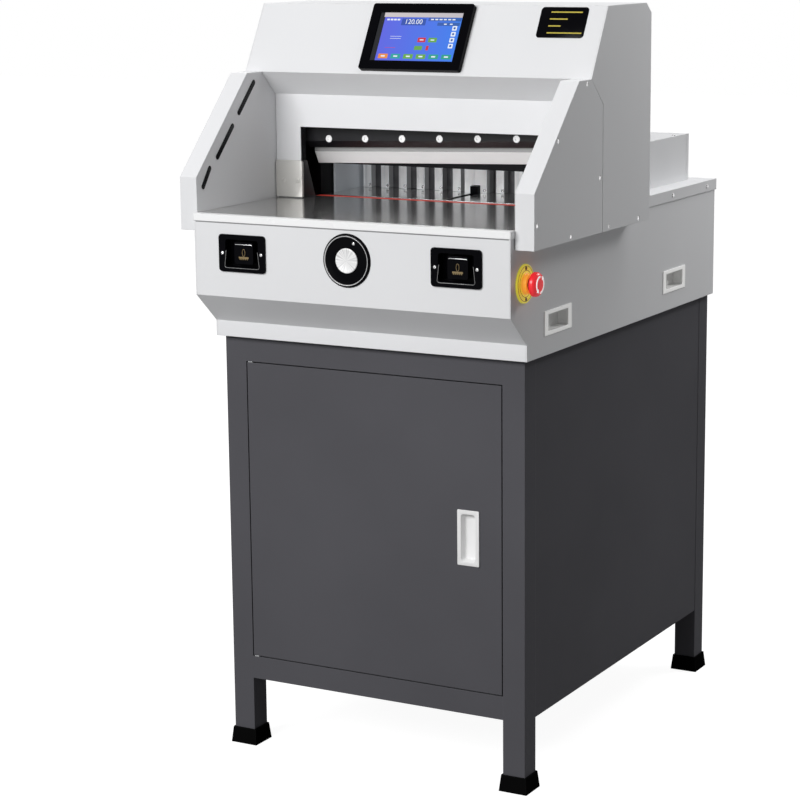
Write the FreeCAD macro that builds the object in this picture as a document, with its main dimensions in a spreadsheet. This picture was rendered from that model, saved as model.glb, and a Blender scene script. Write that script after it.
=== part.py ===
"""Electric paper cutter on a cabinet stand, with a 480 mm cut.

Millimetres, Z up, X to the operator's right, Y away from the operator. The origin is on the
floor under the middle of the machine. Every piece is drawn with Y measured from the front
panel and is then seated at the origin by its placement.

The knife, the clamp, the gauge, the door and the buttons stand as they do at rest.
"""
import FreeCAD, Part
import math
import os
import Sketcher

vector = FreeCAD.Vector
doc = FreeCAD.newDocument("PaperCutter")

# Driving dimensions, in millimetres and degrees. The table height is measured from the floor.
SIZES = {
    # Stand
    "stand_inset": 10.0,
    "stand_set": 71.0,
    "stand_back_set": 2.0,
    "stand_height": 727.0,
    "tube": 40.0,
    "tube_wall": 2.0,
    "rail_floor": 122.0,
    "bottom_rail": 40.0,
    "top_rail": 43.0,
    "thin_sheet": 1.5,
    "panel_recess": 2.0,
    "foot_height": 28.0,
    "foot_flare": 5.5,
    "foot_lip": 2.5,
    "foot_sole": 3.0,
    # Cabinet door
    "door_gap": 2.0,
    "door_fold": 18.0,
    "pin_inset": 6.0,
    "pin_depth": 4.0,
    "pin_radius": 3.0,
    "pull_inset": 60.0,
    "pull_rise": 260.0,
    "pull_width": 40.0,
    "pull_length": 98.0,
    "pull_border": 7.0,
    "pull_depth": 14.0,
    # Body
    "side_room": 53.0,
    "body_depth": 849.0,
    "skirt_set": 58.0,
    "skirt_height": 27.0,
    "slope_height": 51.0,
    "sheet": 2.0,
    "body_height": 214.6,
    "table_thick": 12.0,
    "trim_proud": 2.0,
    "trim_depth": 14.0,
    "cover_overhang": 3.5,
    "cover_skirt": 20.0,
    "hood_margin": 13.0,
    "hood_room": 8.4,
    "hood_end_set": 31.0,
    "hood_cap": 11.0,
    # Side guards and head
    "guard_gap": 2.0,
    "guard_width": 33.0,
    "guard_front": 12.0,
    "guard_drop": 30.6,
    "guard_knee": 57.9,
    "guard_brow": 174.5,
    "window_width": 7.0,
    "window_length": 70.0,
    "window_inset": 26.0,
    "screw_seat": 4.0,
    "screw_seat_depth": 1.3,
    "head_brow": 221.0,
    "head_low": 220.4,
    "head_crest": 285.0,
    "head_rear": 461.0,
    "head_room": 14.2,
    "chamfer_run": 21.0,
    "chamfer_drop": 17.0,
    "recess_front": 264.0,
    "recess_rise": 180.4,
    "opening_margin": 5.0,
    "opening_rise": 124.0,
    "seam": 0.7,
    # Screen
    "screen_width": 191.0,
    "screen_height": 122.0,
    "screen_proud": 9.0,
    "screen_side": -5.0,
    "screen_edge": 3.0,
    "display_width": 158.0,
    "display_height": 90.0,
    "display_sink": 2.0,
    # Operating panel
    "panel_line": 62.6,
    "button_inset": 41.0,
    "box_width": 90.0,
    "box_height": 62.0,
    "box_proud": 3.0,
    "box_wall": 3.0,
    "cup_width": 64.0,
    "cup_height": 46.0,
    "cup_depth": 16.0,
    "button_size": 36.0,
    "button_travel": 4.0,
    "button_stem": 16.0,
    "wheel_radius": 44.0,
    "wheel_proud": 10.0,
    "dial_radius": 37.6,
    "hub_radius": 20.0,
    "dimple_side": 12.0,
    "dimple_rise": 27.0,
    "dimple_radius": 4.0,
    "stop_set": 48.0,
    "stop_drop": 87.6,
    "collar_radius": 31.0,
    "collar_sleeve": 16.0,
    "mushroom_radius": 19.5,
    "stop_height": 28.0,
    "stop_head": 12.0,
    "stop_travel": 4.0,
    "stop_stem": 10.7,
    # Carry cups in the body's sides
    "carry_front": 171.0,
    "carry_rear_set": 192.0,
    "carry_drop": 162.6,
    "carry_length": 100.0,
    "carry_height": 40.0,
    "carry_border": 12.0,
    "carry_depth": 18.0,
    # Box of controls
    "control_width": 160.0,
    "control_depth": 90.0,
    "control_height": 120.0,
    "control_side": 91.0,
    "inlet_rise": 71.0,
    # Cutting line, knife and its guides
    "cutting_width": 480.0,
    "cut_line": 316.0,
    "stick_width": 16.0,
    "stick_depth": 10.0,
    "stick_sink": 0.2,
    "stick_step": 9.0,
    "stick_step_depth": 3.0,
    "blade_over": 34.0,
    "blade_thick": 11.0,
    "blade_height": 100.0,
    "bevel": 21.0,
    "blade_show": 29.0,
    "blade_shift": 12.0,
    "blade_rest_gap": 64.5,
    "tilt": 1.8,
    "pivot_inset": 50.0,
    "pivot_rise": 145.5,
    "roller_inset": 30.0,
    "swing_shift": 14.0,
    "carrier_thick": 28.0,
    "carrier_top": 14.0,
    "carrier_chamfer": 12.0,
    "carrier_end": 7.0,
    "carrier_over": 15.0,
    "bolt_count": 7,
    "bolt_margin": 38.9,
    "bolt_rise": 44.5,
    "bolt_head": 6.0,
    "bolt_shank": 4.0,
    "bolt_seat": 9.0,
    "bolt_socket": 3.0,
    "guide_thick": 14.0,
    "guide_slot": 20.0,
    "guide_before": 52.0,
    "guide_after": 30.0,
    "guide_rise": 23.0,
    "block_length": 26.0,
    "roller_fit": 0.3,
    "slide_fit": 0.3,
    "pin_fit": 0.05,
    # Pull rod and crank
    "rod_reach": 69.0,
    "rod_drop": 85.0,
    "rod_thick": 12.0,
    "rod_eye": 13.0,
    "rod_pin": 6.0,
    "rod_width": 14.0,
    "rod_top_eye": 10.0,
    "rod_foot_pin": 8.0,
    "crank_inset": 8.0,
    "crank_rise": 73.0,
    "crank_disc": 47.0,
    "crank_thick": 14.0,
    "gearbox_width": 70.0,
    "gearbox_depth": 90.0,
    "gearbox_half": 55.0,
    "motor_radius": 42.0,
    "motor_length": 170.0,
    # Clamp
    "clamp_gap": 2.0,
    "clamp_lift": 57.0,
    "clamp_bar": 14.0,
    "clamp_depth": 40.0,
    "clamp_height": 44.0,
    "clamp_side_gap": 2.0,
    "spindle_side": 110.0,
    "spindle_radius": 6.0,
    "spindle_spare": 7.0,
    "pulley_radius": 22.0,
    "pulley_height": 12.0,
    "belt_thick": 3.0,
    # Frame
    "cheek_thick": 30.0,
    "cheek_gap": 6.0,
    "cheek_depth": 100.0,
    "cheek_toe": 28.0,
    "cheek_heel": 128.0,
    "beam_depth": 42.0,
    "beam_foot": 126.0,
    "carrier_room": 3.0,
    "shelf_thick": 8.0,
    # Back gauge and its drive
    "gauge_rest": 136.0,
    "gauge_height": 76.0,
    "finger_first": 43.0,
    "finger_margin": 14.0,
    "finger_count": 6,
    "finger_width": 16.0,
    "finger_depth": 16.0,
    "plate_width": 44.0,
    "plate_lead": 10.0,
    "gauge_bar": 14.0,
    "finger_room": 1.25,
    "table_slot": 14.0,
    "slot_fit": 0.3,
    "gauge_axis": 42.0,
    "gauge_forward": 110.0,
    "gauge_end_gap": 5.0,
    "rail_side": 60.0,
    "rail_radius": 8.0,
    "screw_radius": 8.0,
    "screw_fit": 0.1,
    "carriage_lead": 20.0,
    "carriage_tail": 30.0,
    "carriage_margin": 22.0,
    "carriage_half": 18.0,
    "hanger_thick": 14.0,
    "block_lead": 7.0,
    "block_tail": 16.0,
    "block_height": 12.5,
    "coupling_radius": 13.0,
    "coupling_length": 28.0,
    "stepper_length": 64.0,
    "fence_rise": 60.0,
    "fence_start": 371.0,
    # Side lays
    "lay_height": 65.4,
    "lay_thick": 6.0,
    "lay_reach": 45.0,
    "lay_top": 18.0,
    "lay_wall": 4.0,
    "lay_foot_gap": 1.7,
}


class Size:
    """A length that knows its formula for the document as well as its value."""

    def __init__(self, text, value):
        self.text = text
        self.value = value

    def __add__(self, other):
        return Size("(%s + %s)" % (self.text, text(other)), self.value + value(other))

    def __radd__(self, other):
        return Size("(%s + %s)" % (text(other), self.text), value(other) + self.value)

    def __sub__(self, other):
        return Size("(%s - %s)" % (self.text, text(other)), self.value - value(other))

    def __rsub__(self, other):
        return Size("(%s - %s)" % (text(other), self.text), value(other) - self.value)

    def __mul__(self, other):
        return Size("(%s * %s)" % (self.text, text(other)), self.value * value(other))

    __rmul__ = __mul__

    def __truediv__(self, other):
        return Size("(%s / %s)" % (self.text, text(other)), self.value / value(other))

    def __neg__(self):
        return Size("(0 - %s)" % self.text, -self.value)


def text(size):
    return size.text if isinstance(size, Size) else repr(float(size))


def value(size):
    return size.value if isinstance(size, Size) else float(size)


def root(size):
    return Size("sqrt(%s)" % size.text, math.sqrt(size.value))


def bind(obj, path, size):
    obj.setExpression(path, text(size))


class Sheet:
    """The spreadsheet of driving dimensions, read as Size attributes."""

    def __init__(self, sizes):
        cells = doc.addObject("Spreadsheet::Sheet", "Sizes")
        for row, (name, number) in enumerate(sizes.items(), 1):
            cells.set("A%d" % row, name)
            cells.set("B%d" % row, str(number))
            cells.setAlias("B%d" % row, name)
            setattr(self, name, Size("Sizes." + name, number))
        doc.recompute()


s = Sheet(SIZES)
NODES = []

# Places that several pieces share
front = -(s.body_depth + s.cover_overhang - s.wheel_proud) / 2
half_cut = s.cutting_width / 2
body_side = half_cut + s.side_room
panel_side = body_side - s.sheet
stand_side = body_side - s.stand_inset
stand_front = s.stand_set
stand_back = s.body_depth - s.stand_back_set
leg_inside = stand_side - s.tube
leg_front = stand_front + s.tube
leg_back = stand_back - s.tube
rail_side_face = stand_side - s.panel_recess
rail_back_face = stand_back - s.panel_recess
rail_top = s.rail_floor + s.bottom_rail
lintel = s.stand_height - s.top_rail
door_side = leg_inside - s.door_gap
door_low = rail_top + s.door_gap
door_high = lintel - s.door_gap
pin_x = -(door_side - s.pin_inset)
pin_y = stand_front + s.pin_depth
pull_x = door_side - s.pull_inset
pull_z = door_low + s.pull_rise
floor_top = s.stand_height + s.sheet
table = s.stand_height + s.body_height
table_low = table - s.table_thick
skirt_top = s.stand_height + s.skirt_height
slope_top = skirt_top + s.slope_height
panel_centre = table - s.panel_line
button_x = half_cut - s.button_inset
carry_z = table - s.carry_drop
carry_places = (s.carry_front, s.body_depth - s.carry_rear_set)
hood_side = half_cut + s.hood_margin
hood_end = s.body_depth - s.hood_end_set
hood_high = table + s.gauge_height + s.hood_room
guard_in = body_side + s.guard_gap
guard_out = guard_in + s.guard_width
guard_low = table - s.guard_drop
head_low = table + s.head_low
head_side = guard_out - s.sheet
recess_top = table + s.recess_rise
recess_back = s.recess_front + s.sheet
opening_side = half_cut + s.opening_margin
blade_back = s.cut_line
blade_front = s.cut_line - s.blade_thick
carrier_front = s.cut_line - s.carrier_thick

# The knife swings on a pin at its left end, and its right end runs on a roller. The pin's rest
# place and travel follow from the height of the edge over the middle of the table.
tilt_run = Size("cos(Sizes.tilt * 1 deg)", math.cos(math.radians(s.tilt.value)))
tilt_rise = Size("sin(Sizes.tilt * 1 deg)", math.sin(math.radians(s.tilt.value)))
pivot_side = half_cut - s.pivot_inset
pivot_span = s.cutting_width - s.pivot_inset - s.roller_inset
rod_side = pivot_span + s.rod_reach
pivot_x = -pivot_side
pivot_z = table + s.blade_rest_gap - pivot_side * tilt_rise / tilt_run + s.pivot_rise
edge_stop = 0.1
swing_drop = pivot_z - s.pivot_rise - table - edge_stop
swing_travel = root(s.swing_shift * s.swing_shift + swing_drop * swing_drop)
guide_back = s.cut_line + s.clamp_gap + s.guide_thick
blade_middle = pivot_side + s.blade_shift
blade_length = s.cutting_width + s.blade_over
blade_ends = (blade_middle - blade_length / 2, blade_middle + blade_length / 2)
carrier_ends = (blade_ends[0] - s.carrier_end, rod_side + s.carrier_over)
carrier_peak = pivot_z + s.carrier_top + carrier_ends[1] * tilt_rise

# Clamp, its drive on the beam over the carrier, and the head's top over the clamp's spindles
clamp_front = s.cut_line + s.clamp_gap
clamp_low = table + s.clamp_lift
clamp_top = clamp_low + s.clamp_height
spindle_y = clamp_front + s.clamp_bar / 2
beam_front = guide_back
beam_low = table + s.beam_foot
shelf_low = carrier_peak + s.carrier_room
beam_high = shelf_low + s.shelf_thick
spindle_top = beam_high + s.pulley_height + s.clamp_lift + s.spindle_spare
total_height = spindle_top + s.head_room

# Back gauge
gauge_front = s.cut_line + s.gauge_rest
finger_front = gauge_front + s.plate_lead
finger_back = finger_front + s.finger_depth
gauge_back_face = finger_back + s.gauge_bar
gauge_back = hood_end - s.sheet - s.gauge_end_gap - gauge_back_face
gauge_axis_z = table - s.gauge_axis
block_side = s.table_slot / 2 + 0.5

# Knife drive
crank_x = half_cut - s.crank_inset
crank_z = s.stand_height + s.crank_rise


def span(side, near, far):
    """Limits across the machine of something on its left (-1) or right (1) side."""
    return (near, far) if side > 0 else (-far, -near)


def rectangle(u, v):
    return [(u[0], v[0]), (u[1], v[0]), (u[1], v[1]), (u[0], v[1])]


def centred(u, v, width, height):
    return rectangle((u - width / 2, u + width / 2), (v - height / 2, v + height / 2))


def circle(u, v, radius):
    return ("circle", u, v, radius)


def sketch(body, plane, offset, loops):
    """A sketch on one of the body's own planes, each of its points held by a formula."""
    drawing = body.newObject("Sketcher::SketchObject", "Outline")
    for feature in body.Origin.OriginFeatures:
        if feature.Role == plane + "_Plane":
            drawing.AttachmentSupport = [(feature, "")]
    drawing.MapMode = "FlatFace"
    bind(drawing, "AttachmentOffset.Base.z", offset)
    for loop in loops:
        if loop[0] == "circle":
            draw_circle(drawing, *loop[1:])
        else:
            draw_polygon(drawing, loop)
    return drawing


def hold(drawing, kind, element, point, size):
    row = drawing.addConstraint(Sketcher.Constraint(kind, -1, 1, element, point, value(size)))
    bind(drawing, "Constraints[%d]" % row, size)


def draw_circle(drawing, u, v, radius):
    centre = vector(value(u), value(v), 0)
    ring = drawing.addGeometry(Part.Circle(centre, vector(0, 0, 1), value(radius)), False)
    hold(drawing, "DistanceX", ring, 3, u)
    hold(drawing, "DistanceY", ring, 3, v)
    row = drawing.addConstraint(Sketcher.Constraint("Radius", ring, value(radius)))
    bind(drawing, "Constraints[%d]" % row, radius)


def draw_polygon(drawing, points):
    corners = [vector(value(u), value(v), 0) for u, v in points]
    count = len(points)
    first = drawing.GeometryCount
    for i in range(count):
        drawing.addGeometry(Part.LineSegment(corners[i], corners[(i + 1) % count]), False)
    for i in range(count):
        following = first + (i + 1) % count
        drawing.addConstraint(Sketcher.Constraint("Coincident", first + i, 2, following, 1))
    for i, (u, v) in enumerate(points):
        hold(drawing, "DistanceX", first + i, 1, u)
        hold(drawing, "DistanceY", first + i, 1, v)


def pad(body, plane, loops, limits):
    """Adds material between two limits along the plane's axis. The XZ plane faces -Y."""
    low, high = limits
    feature = body.newObject("PartDesign::Pad", "Pad")
    feature.Profile = sketch(body, plane, -high if plane == "XZ" else low, loops)
    bind(feature, "Length", high - low)
    body.Tip = feature
    return feature


def pocket(body, plane, loops, limits):
    """Takes material away between two limits along the plane's axis."""
    low, high = limits
    feature = body.newObject("PartDesign::Pocket", "Pocket")
    feature.Profile = sketch(body, plane, -low if plane == "XZ" else high, loops)
    bind(feature, "Length", high - low)
    body.Tip = feature
    return feature


def solid_body(label):
    body = doc.addObject("PartDesign::Body", "Body")
    return node(body, label)


def node(obj, label):
    """Names a sub-part and seats it over the machine's origin."""
    obj.Label = label
    bind(obj, "Placement.Base.y", front)
    NODES.append(obj)
    return obj


def prism(label, plane, loops, limits):
    body = solid_body(label)
    pad(body, plane, loops, limits)
    return body


def round_corners(body, plane, corners, radius):
    """Rounds the edges that run square to the plane through the given corners."""
    doc.recompute()
    tip = body.Tip
    axes = {"XY": ("x", "y"), "XZ": ("x", "z"), "YZ": ("y", "z")}[plane]
    names = []
    for number, edge in enumerate(tip.Shape.Edges, 1):
        ends = [vertex.Point for vertex in edge.Vertexes]
        if len(ends) != 2:
            continue
        for corner in corners:
            gap = max(abs(getattr(end, axis) - value(place))
                      for end in ends for axis, place in zip(axes, corner))
            if gap < 0.01:
                names.append("Edge%d" % number)
    fillet = body.newObject("PartDesign::Fillet", "Fillet")
    fillet.Base = (tip, names)
    bind(fillet, "Radius", radius)
    body.Tip = fillet


def block(x, y, z):
    box = doc.addObject("Part::Box", "Block")
    for length, path, limits in (("Length", "x", x), ("Width", "y", y), ("Height", "z", z)):
        bind(box, length, limits[1] - limits[0])
        bind(box, "Placement.Base." + path, limits[0])
    return box


TURNS = {
    "x": FreeCAD.Rotation(vector(0, 1, 0), 90),
    "y": FreeCAD.Rotation(vector(1, 0, 0), -90),
    "z": FreeCAD.Rotation(),
}


def stand_up(solid, axis, centre, low):
    """Turns a round solid along an axis, with its foot at low and its axis through centre."""
    solid.Placement = FreeCAD.Placement(vector(), TURNS[axis])
    across = [name for name in "xyz" if name != axis]
    bind(solid, "Placement.Base." + axis, low)
    for name, place in zip(across, centre):
        bind(solid, "Placement.Base." + name, place)
    return solid


def rod(axis, centre, radius, limits):
    solid = doc.addObject("Part::Cylinder", "Rod")
    bind(solid, "Radius", radius)
    bind(solid, "Height", limits[1] - limits[0])
    return stand_up(solid, axis, centre, limits[0])


def cone(axis, centre, foot, top, limits):
    solid = doc.addObject("Part::Cone", "Cone")
    bind(solid, "Radius1", foot)
    bind(solid, "Radius2", top)
    bind(solid, "Height", limits[1] - limits[0])
    return stand_up(solid, axis, centre, limits[0])


def fuse(parts):
    joined = doc.addObject("Part::MultiFuse", "Fusion")
    joined.Shapes = parts
    joined.Refine = True
    return joined


def group(parts):
    held = doc.addObject("Part::Compound", "Group")
    held.Links = parts
    return held


def cut(base, tools):
    result = doc.addObject("Part::Cut", "Cut")
    result.Base = base
    result.Tool = tools[0] if len(tools) == 1 else group(tools)
    result.Refine = True
    return result


def shrink(limits, wall):
    return (limits[0] + wall, limits[1] - wall)


def leg_places():
    for side in (-1, 1):
        for y in ((stand_front, leg_front), (leg_back, stand_back)):
            yield span(side, leg_inside, stand_side), y


def stand_frame():
    """Four square tube legs, joined by channel rails that are open to the inside."""
    wall = s.tube_wall
    members = []
    for x, y in leg_places():
        leg = block(x, y, (s.foot_sole, s.stand_height))
        members.append(cut(leg, [block(shrink(x, wall), shrink(y, wall), (0, s.stand_height + 1))]))
    across = (-leg_inside, leg_inside)
    along = (leg_front, leg_back)
    for z in ((s.rail_floor, rail_top), (lintel, s.stand_height)):
        inner = shrink(z, wall)
        rail = block(across, (stand_front, leg_front), z)
        members.append(cut(rail, [block(across, (stand_front + wall, leg_front + 1), inner)]))
        rail = block(across, (leg_back, rail_back_face), z)
        members.append(cut(rail, [block(across, (leg_back - 1, rail_back_face - wall), inner)]))
        for side in (-1, 1):
            rail = block(span(side, leg_inside, rail_side_face), along, z)
            hollow = block(span(side, leg_inside - 1, rail_side_face - wall), along, inner)
            members.append(cut(rail, [hollow]))
    node(group(members), "stand_frame")


def rubber_feet():
    """A flared rubber sleeve under each leg."""
    feet = []
    room = 0.2
    for x, y in leg_places():
        flare = doc.addObject("Part::Wedge", "Flare")
        for low, high, half in (("Xmin", "Xmax", s.tube / 2 + s.foot_flare),
                                ("Zmin", "Zmax", s.tube / 2 + s.foot_flare),
                                ("X2min", "X2max", s.tube / 2 + s.foot_lip),
                                ("Z2min", "Z2max", s.tube / 2 + s.foot_lip)):
            bind(flare, low, -half)
            bind(flare, high, half)
        bind(flare, "Ymin", 0)
        bind(flare, "Ymax", s.foot_height)
        flare.Placement = FreeCAD.Placement(vector(), FreeCAD.Rotation(vector(1, 0, 0), 90))
        bind(flare, "Placement.Base.x", (x[0] + x[1]) / 2)
        bind(flare, "Placement.Base.y", (y[0] + y[1]) / 2)
        socket = block(shrink(x, -room), shrink(y, -room), (s.foot_sole, s.foot_height + 1))
        feet.append(cut(flare, [socket]))
    node(group(feet), "rubber_feet")


def stand_panels():
    """Sheet panels that close the stand's sides, back and floor."""
    ease = 0.3
    panels = []
    tall = (s.rail_floor - 1, s.stand_height - 1)
    for side in (-1, 1):
        skin = span(side, rail_side_face, rail_side_face + s.thin_sheet)
        panels.append(block(skin, (leg_front + ease, leg_back - ease), tall))
    back = (rail_back_face, rail_back_face + s.thin_sheet)
    panels.append(block((-leg_inside + ease, leg_inside - ease), back, tall))
    inner = leg_inside - ease
    outer = rail_side_face - ease
    start = stand_front + s.door_fold + s.sheet
    corner_front = leg_front + ease
    corner_back = leg_back - ease
    end = rail_back_face - ease
    half = [(inner, start), (inner, corner_front), (outer, corner_front), (outer, corner_back),
            (inner, corner_back), (inner, end)]
    outline = half + [(-u, v) for u, v in reversed(half)]
    floor = doc.addObject("PartDesign::Body", "Floor")
    pad(floor, "XY", [outline], (rail_top, rail_top + s.thin_sheet))
    panels.append(floor)
    node(group(panels), "stand_panels")


def cabinet_door():
    """A folded pan that swings on two pins, with a hole for the flush pull."""
    sides = (-door_side, door_side)
    heights = (door_low, door_high)
    skin = (stand_front, stand_front + s.thin_sheet)
    door = solid_body("cabinet_door")
    border = s.pull_border
    hole = centred(pull_x, pull_z, s.pull_width - border, s.pull_length - border)
    pad(door, "XZ", [rectangle(sides, heights), hole], skin)
    inside = rectangle(shrink(sides, s.thin_sheet), shrink(heights, s.thin_sheet))
    pad(door, "XZ", [rectangle(sides, heights), inside], (skin[1], stand_front + s.door_fold))
    pocket(door, "XY", [circle(pin_x, pin_y, s.pin_radius + s.pin_fit)], (door_low - 1, door_high + 1))


def door_hinge_pins():
    """Two pins on plates under the lintel and on the bottom rail."""
    pins = []
    reach = 8.0
    for rail, door_edge, way in ((lintel, door_high, -1), (rail_top, door_low, 1)):
        plate_end = rail + way * (s.door_gap - 0.3)
        pin_end = door_edge + way * reach
        ends = (plate_end, rail) if way < 0 else (rail, plate_end)
        pin = (pin_end, rail) if way < 0 else (rail, pin_end)
        half = s.pin_radius + 1
        plate = block((pin_x - half, pin_x + half), (pin_y - half, pin_y + half), ends)
        pins.append(fuse([plate, rod("z", (pin_x, pin_y), s.pin_radius, pin)]))
    node(group(pins), "door_hinge_pins")


def door_handle():
    """A flush pull: a flange on the door and a cup behind it."""
    flange = 2.5
    wall = 2.0
    handle = solid_body("door_handle")
    outer = centred(pull_x, pull_z, s.pull_width, s.pull_length)
    pad(handle, "XZ", [outer], (stand_front - flange, stand_front))
    round_corners(handle, "XZ", outer, 5)
    border = s.pull_border + 1
    cup = centred(pull_x, pull_z, s.pull_width - border, s.pull_length - border)
    pad(handle, "XZ", [cup], (stand_front, stand_front + s.pull_depth + wall))
    hollow = centred(pull_x, pull_z, s.pull_width - 2 * s.pull_border,
                     s.pull_length - 2 * s.pull_border)
    pocket(handle, "XZ", [hollow], (stand_front - flange - 1, stand_front + s.pull_depth))
    round_corners(handle, "XZ", hollow, 4)


def base_tray():
    """The body's floor and back wall, folded from one sheet."""
    back = s.body_depth
    top = table - s.cover_skirt
    outline = [(s.skirt_set + s.sheet, s.stand_height), (back, s.stand_height), (back, top),
               (back - s.sheet, top), (back - s.sheet, floor_top),
               (s.skirt_set + s.sheet, floor_top)]
    tray = prism("base_tray", "YZ", [outline], (-panel_side, panel_side))
    pocket(tray, "XZ", [inlet_outline(1)], (back - 2 * s.sheet, back + 1))


def control_middle():
    return s.control_side - panel_side


def inlet_outline(room):
    width = 48.0
    height = 26.0
    return centred(control_middle(), floor_top + s.inlet_rise, width + 2 * room, height + 2 * room)


def base_front_panel():
    """The operating panel, folded back at a slope to the skirt that rests on the stand."""
    bend = 0.45 * s.sheet
    outline = [(0, table_low), (0, slope_top), (s.skirt_set, skirt_top), (s.skirt_set, s.stand_height),
               (s.skirt_set + s.sheet, s.stand_height), (s.skirt_set + s.sheet, skirt_top + bend),
               (s.sheet, slope_top + bend), (s.sheet, table_low)]
    panel = prism("base_front_panel", "YZ", [outline], (-panel_side, panel_side))
    shaft_hole = 14.0
    holes = [circle(0, panel_centre, shaft_hole)]
    room = 2 * s.box_wall + 1
    for side in (-1, 1):
        holes.append(centred(side * button_x, panel_centre, s.cup_width + room, s.cup_height + room))
    pocket(panel, "XZ", holes, (-1, s.sheet + 1))


def base_side_panels():
    """The body's sides, with the carry cups cut out, and the stop button's hole on the right."""
    for side, label in ((-1, "base_left_panel"), (1, "base_right_panel")):
        outline = [(0, table_low), (0, slope_top), (s.skirt_set, skirt_top), (s.skirt_set, s.stand_height),
                   (s.body_depth, s.stand_height), (s.body_depth, table_low)]
        holes = []
        for place in carry_places:
            border = s.carry_border
            holes.append(centred(place, carry_z, s.carry_length - border, s.carry_height - border / 2))
        if side > 0:
            holes.append(circle(s.stop_set, table - s.stop_drop, s.stop_stem + 0.6))
        prism(label, "YZ", [outline] + holes, span(side, panel_side, body_side))


def handle_cups():
    """Four moulded cups that the machine is lifted by."""
    cups = []
    lip = 1.5
    wall = 1.5
    for side in (-1, 1):
        for place in carry_places:
            border = s.carry_border
            length = s.carry_length - 2 * border
            height = s.carry_height - border
            cup = doc.addObject("PartDesign::Body", "Cup")
            flange = centred(place, carry_z, s.carry_length, s.carry_height)
            pad(cup, "YZ", [flange], span(side, body_side, body_side + lip))
            back = centred(place, carry_z, length + 2 * wall, height + 2 * wall)
            pad(cup, "YZ", [back], span(side, body_side - s.carry_depth - wall, body_side))
            hollow = centred(place, carry_z, length, height)
            pocket(cup, "YZ", [hollow], span(side, body_side - s.carry_depth, body_side + lip + 1))
            cups.append(cup)
    node(group(cups), "handle_cups")


def table_trim():
    """The painted strip along the table's front edge."""
    edge = 3.0
    sides = (-guard_in, guard_in)
    depths = (-s.trim_proud, s.trim_depth - s.trim_proud)
    outline = [(depths[0], table_low), (depths[1], table_low), (depths[1], table), (depths[0], table)]
    trim = prism("table_trim", "YZ", [outline], shrink(sides, 0.3))
    corners = [(place, depths[0]) for place in shrink(sides, 0.3)]
    round_corners(trim, "XY", corners, edge)


def work_table():
    """The steel table: full width in front, between the cheeks and under the hood behind."""
    start = s.trim_depth - s.trim_proud
    side = guard_in - 0.5
    notch = half_cut + 3
    notch_end = guide_back + s.cheek_depth + 1
    rear_side = hood_side - s.sheet - 1
    rear_start = s.head_rear
    end = hood_end - 3
    half = [(side, start), (side, blade_back), (notch, blade_back), (notch, notch_end), (side, notch_end),
            (side, rear_start), (rear_side, rear_start), (rear_side, end)]
    outline = half + [(-u, v) for u, v in reversed(half)]
    slab = prism("work_table", "XY", [outline], (table_low, table))
    step_end = stick_limits(0)[1] + s.stick_step
    slot_start = step_end + 1.3
    slot_end = gauge_front + gauge_back + 20
    slot = rectangle((-s.table_slot / 2, s.table_slot / 2), (slot_start, slot_end))
    pocket(slab, "XY", [slot], (table_low - 1, table + 1))
    groove = rectangle((-notch, notch), stick_limits(0))
    pocket(slab, "XY", [groove], (table - s.stick_depth, table + 1))
    step = rectangle((-notch, notch), (stick_limits(0)[1] - 1, step_end))
    pocket(slab, "XY", [step], (table - s.stick_step_depth, table + 1))


def stick_limits(room):
    return (s.cut_line - s.stick_width / 2 + room, s.cut_line + s.stick_width / 2 - room)


def cutting_stick():
    """The plastic stick that the knife's edge lands on."""
    y = stick_limits(0.05)
    side = half_cut + 2.9
    outline = rectangle(y, (table - s.stick_depth, table - s.stick_sink))
    prism("cutting_stick", "YZ", [outline], (-side, side))


def guard_outline(wall):
    """The guard's side view, or the hollow a wall's thickness inside it."""
    knee = table + s.guard_knee
    corner = 0.41 * wall
    deep = 2 * wall
    return [(s.guard_front + wall, guard_low + wall),
            (s.guard_front + wall, knee - corner),
            (s.guard_brow + corner, head_low - wall),
            (s.head_brow - s.seam - corner, head_low - wall),
            (recess_back - s.seam + deep, recess_top - s.sheet - wall - deep),
            (recess_back - s.seam + deep, guard_low + wall)]


def window_places():
    """Centre, lean and length of each window of the light curtain, along the guard's slope."""
    knee = table + s.guard_knee
    rise = 0.7071
    places = [(s.guard_front + 30, knee - 2.5, 54.0, 0.54 * s.window_length)]
    for along in (100.0, 198.0):
        y = s.guard_front + along * rise + s.window_inset * rise
        z = knee + along * rise - s.window_inset * rise
        places.append((y, z, 45.0, s.window_length))
    return places


def leaning(y, z, lean, length, width):
    """A rectangle turned to lean back by an angle."""
    cos = math.cos(math.radians(lean)) / 2
    sin = math.sin(math.radians(lean)) / 2
    corners = []
    for a, b in ((-1, -1), (1, -1), (1, 1), (-1, 1)):
        corners.append((y + a * length * cos - b * width * sin, z + a * length * sin + b * width * cos))
    return corners


def screw_seats(body, places, side):
    """Sinks the seats of a casing's screws into its outer face."""
    seats = [circle(y, z, s.screw_seat) for y, z in places]
    pocket(body, "YZ", seats, span(side, guard_out - s.screw_seat_depth, guard_out + 1))


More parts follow.
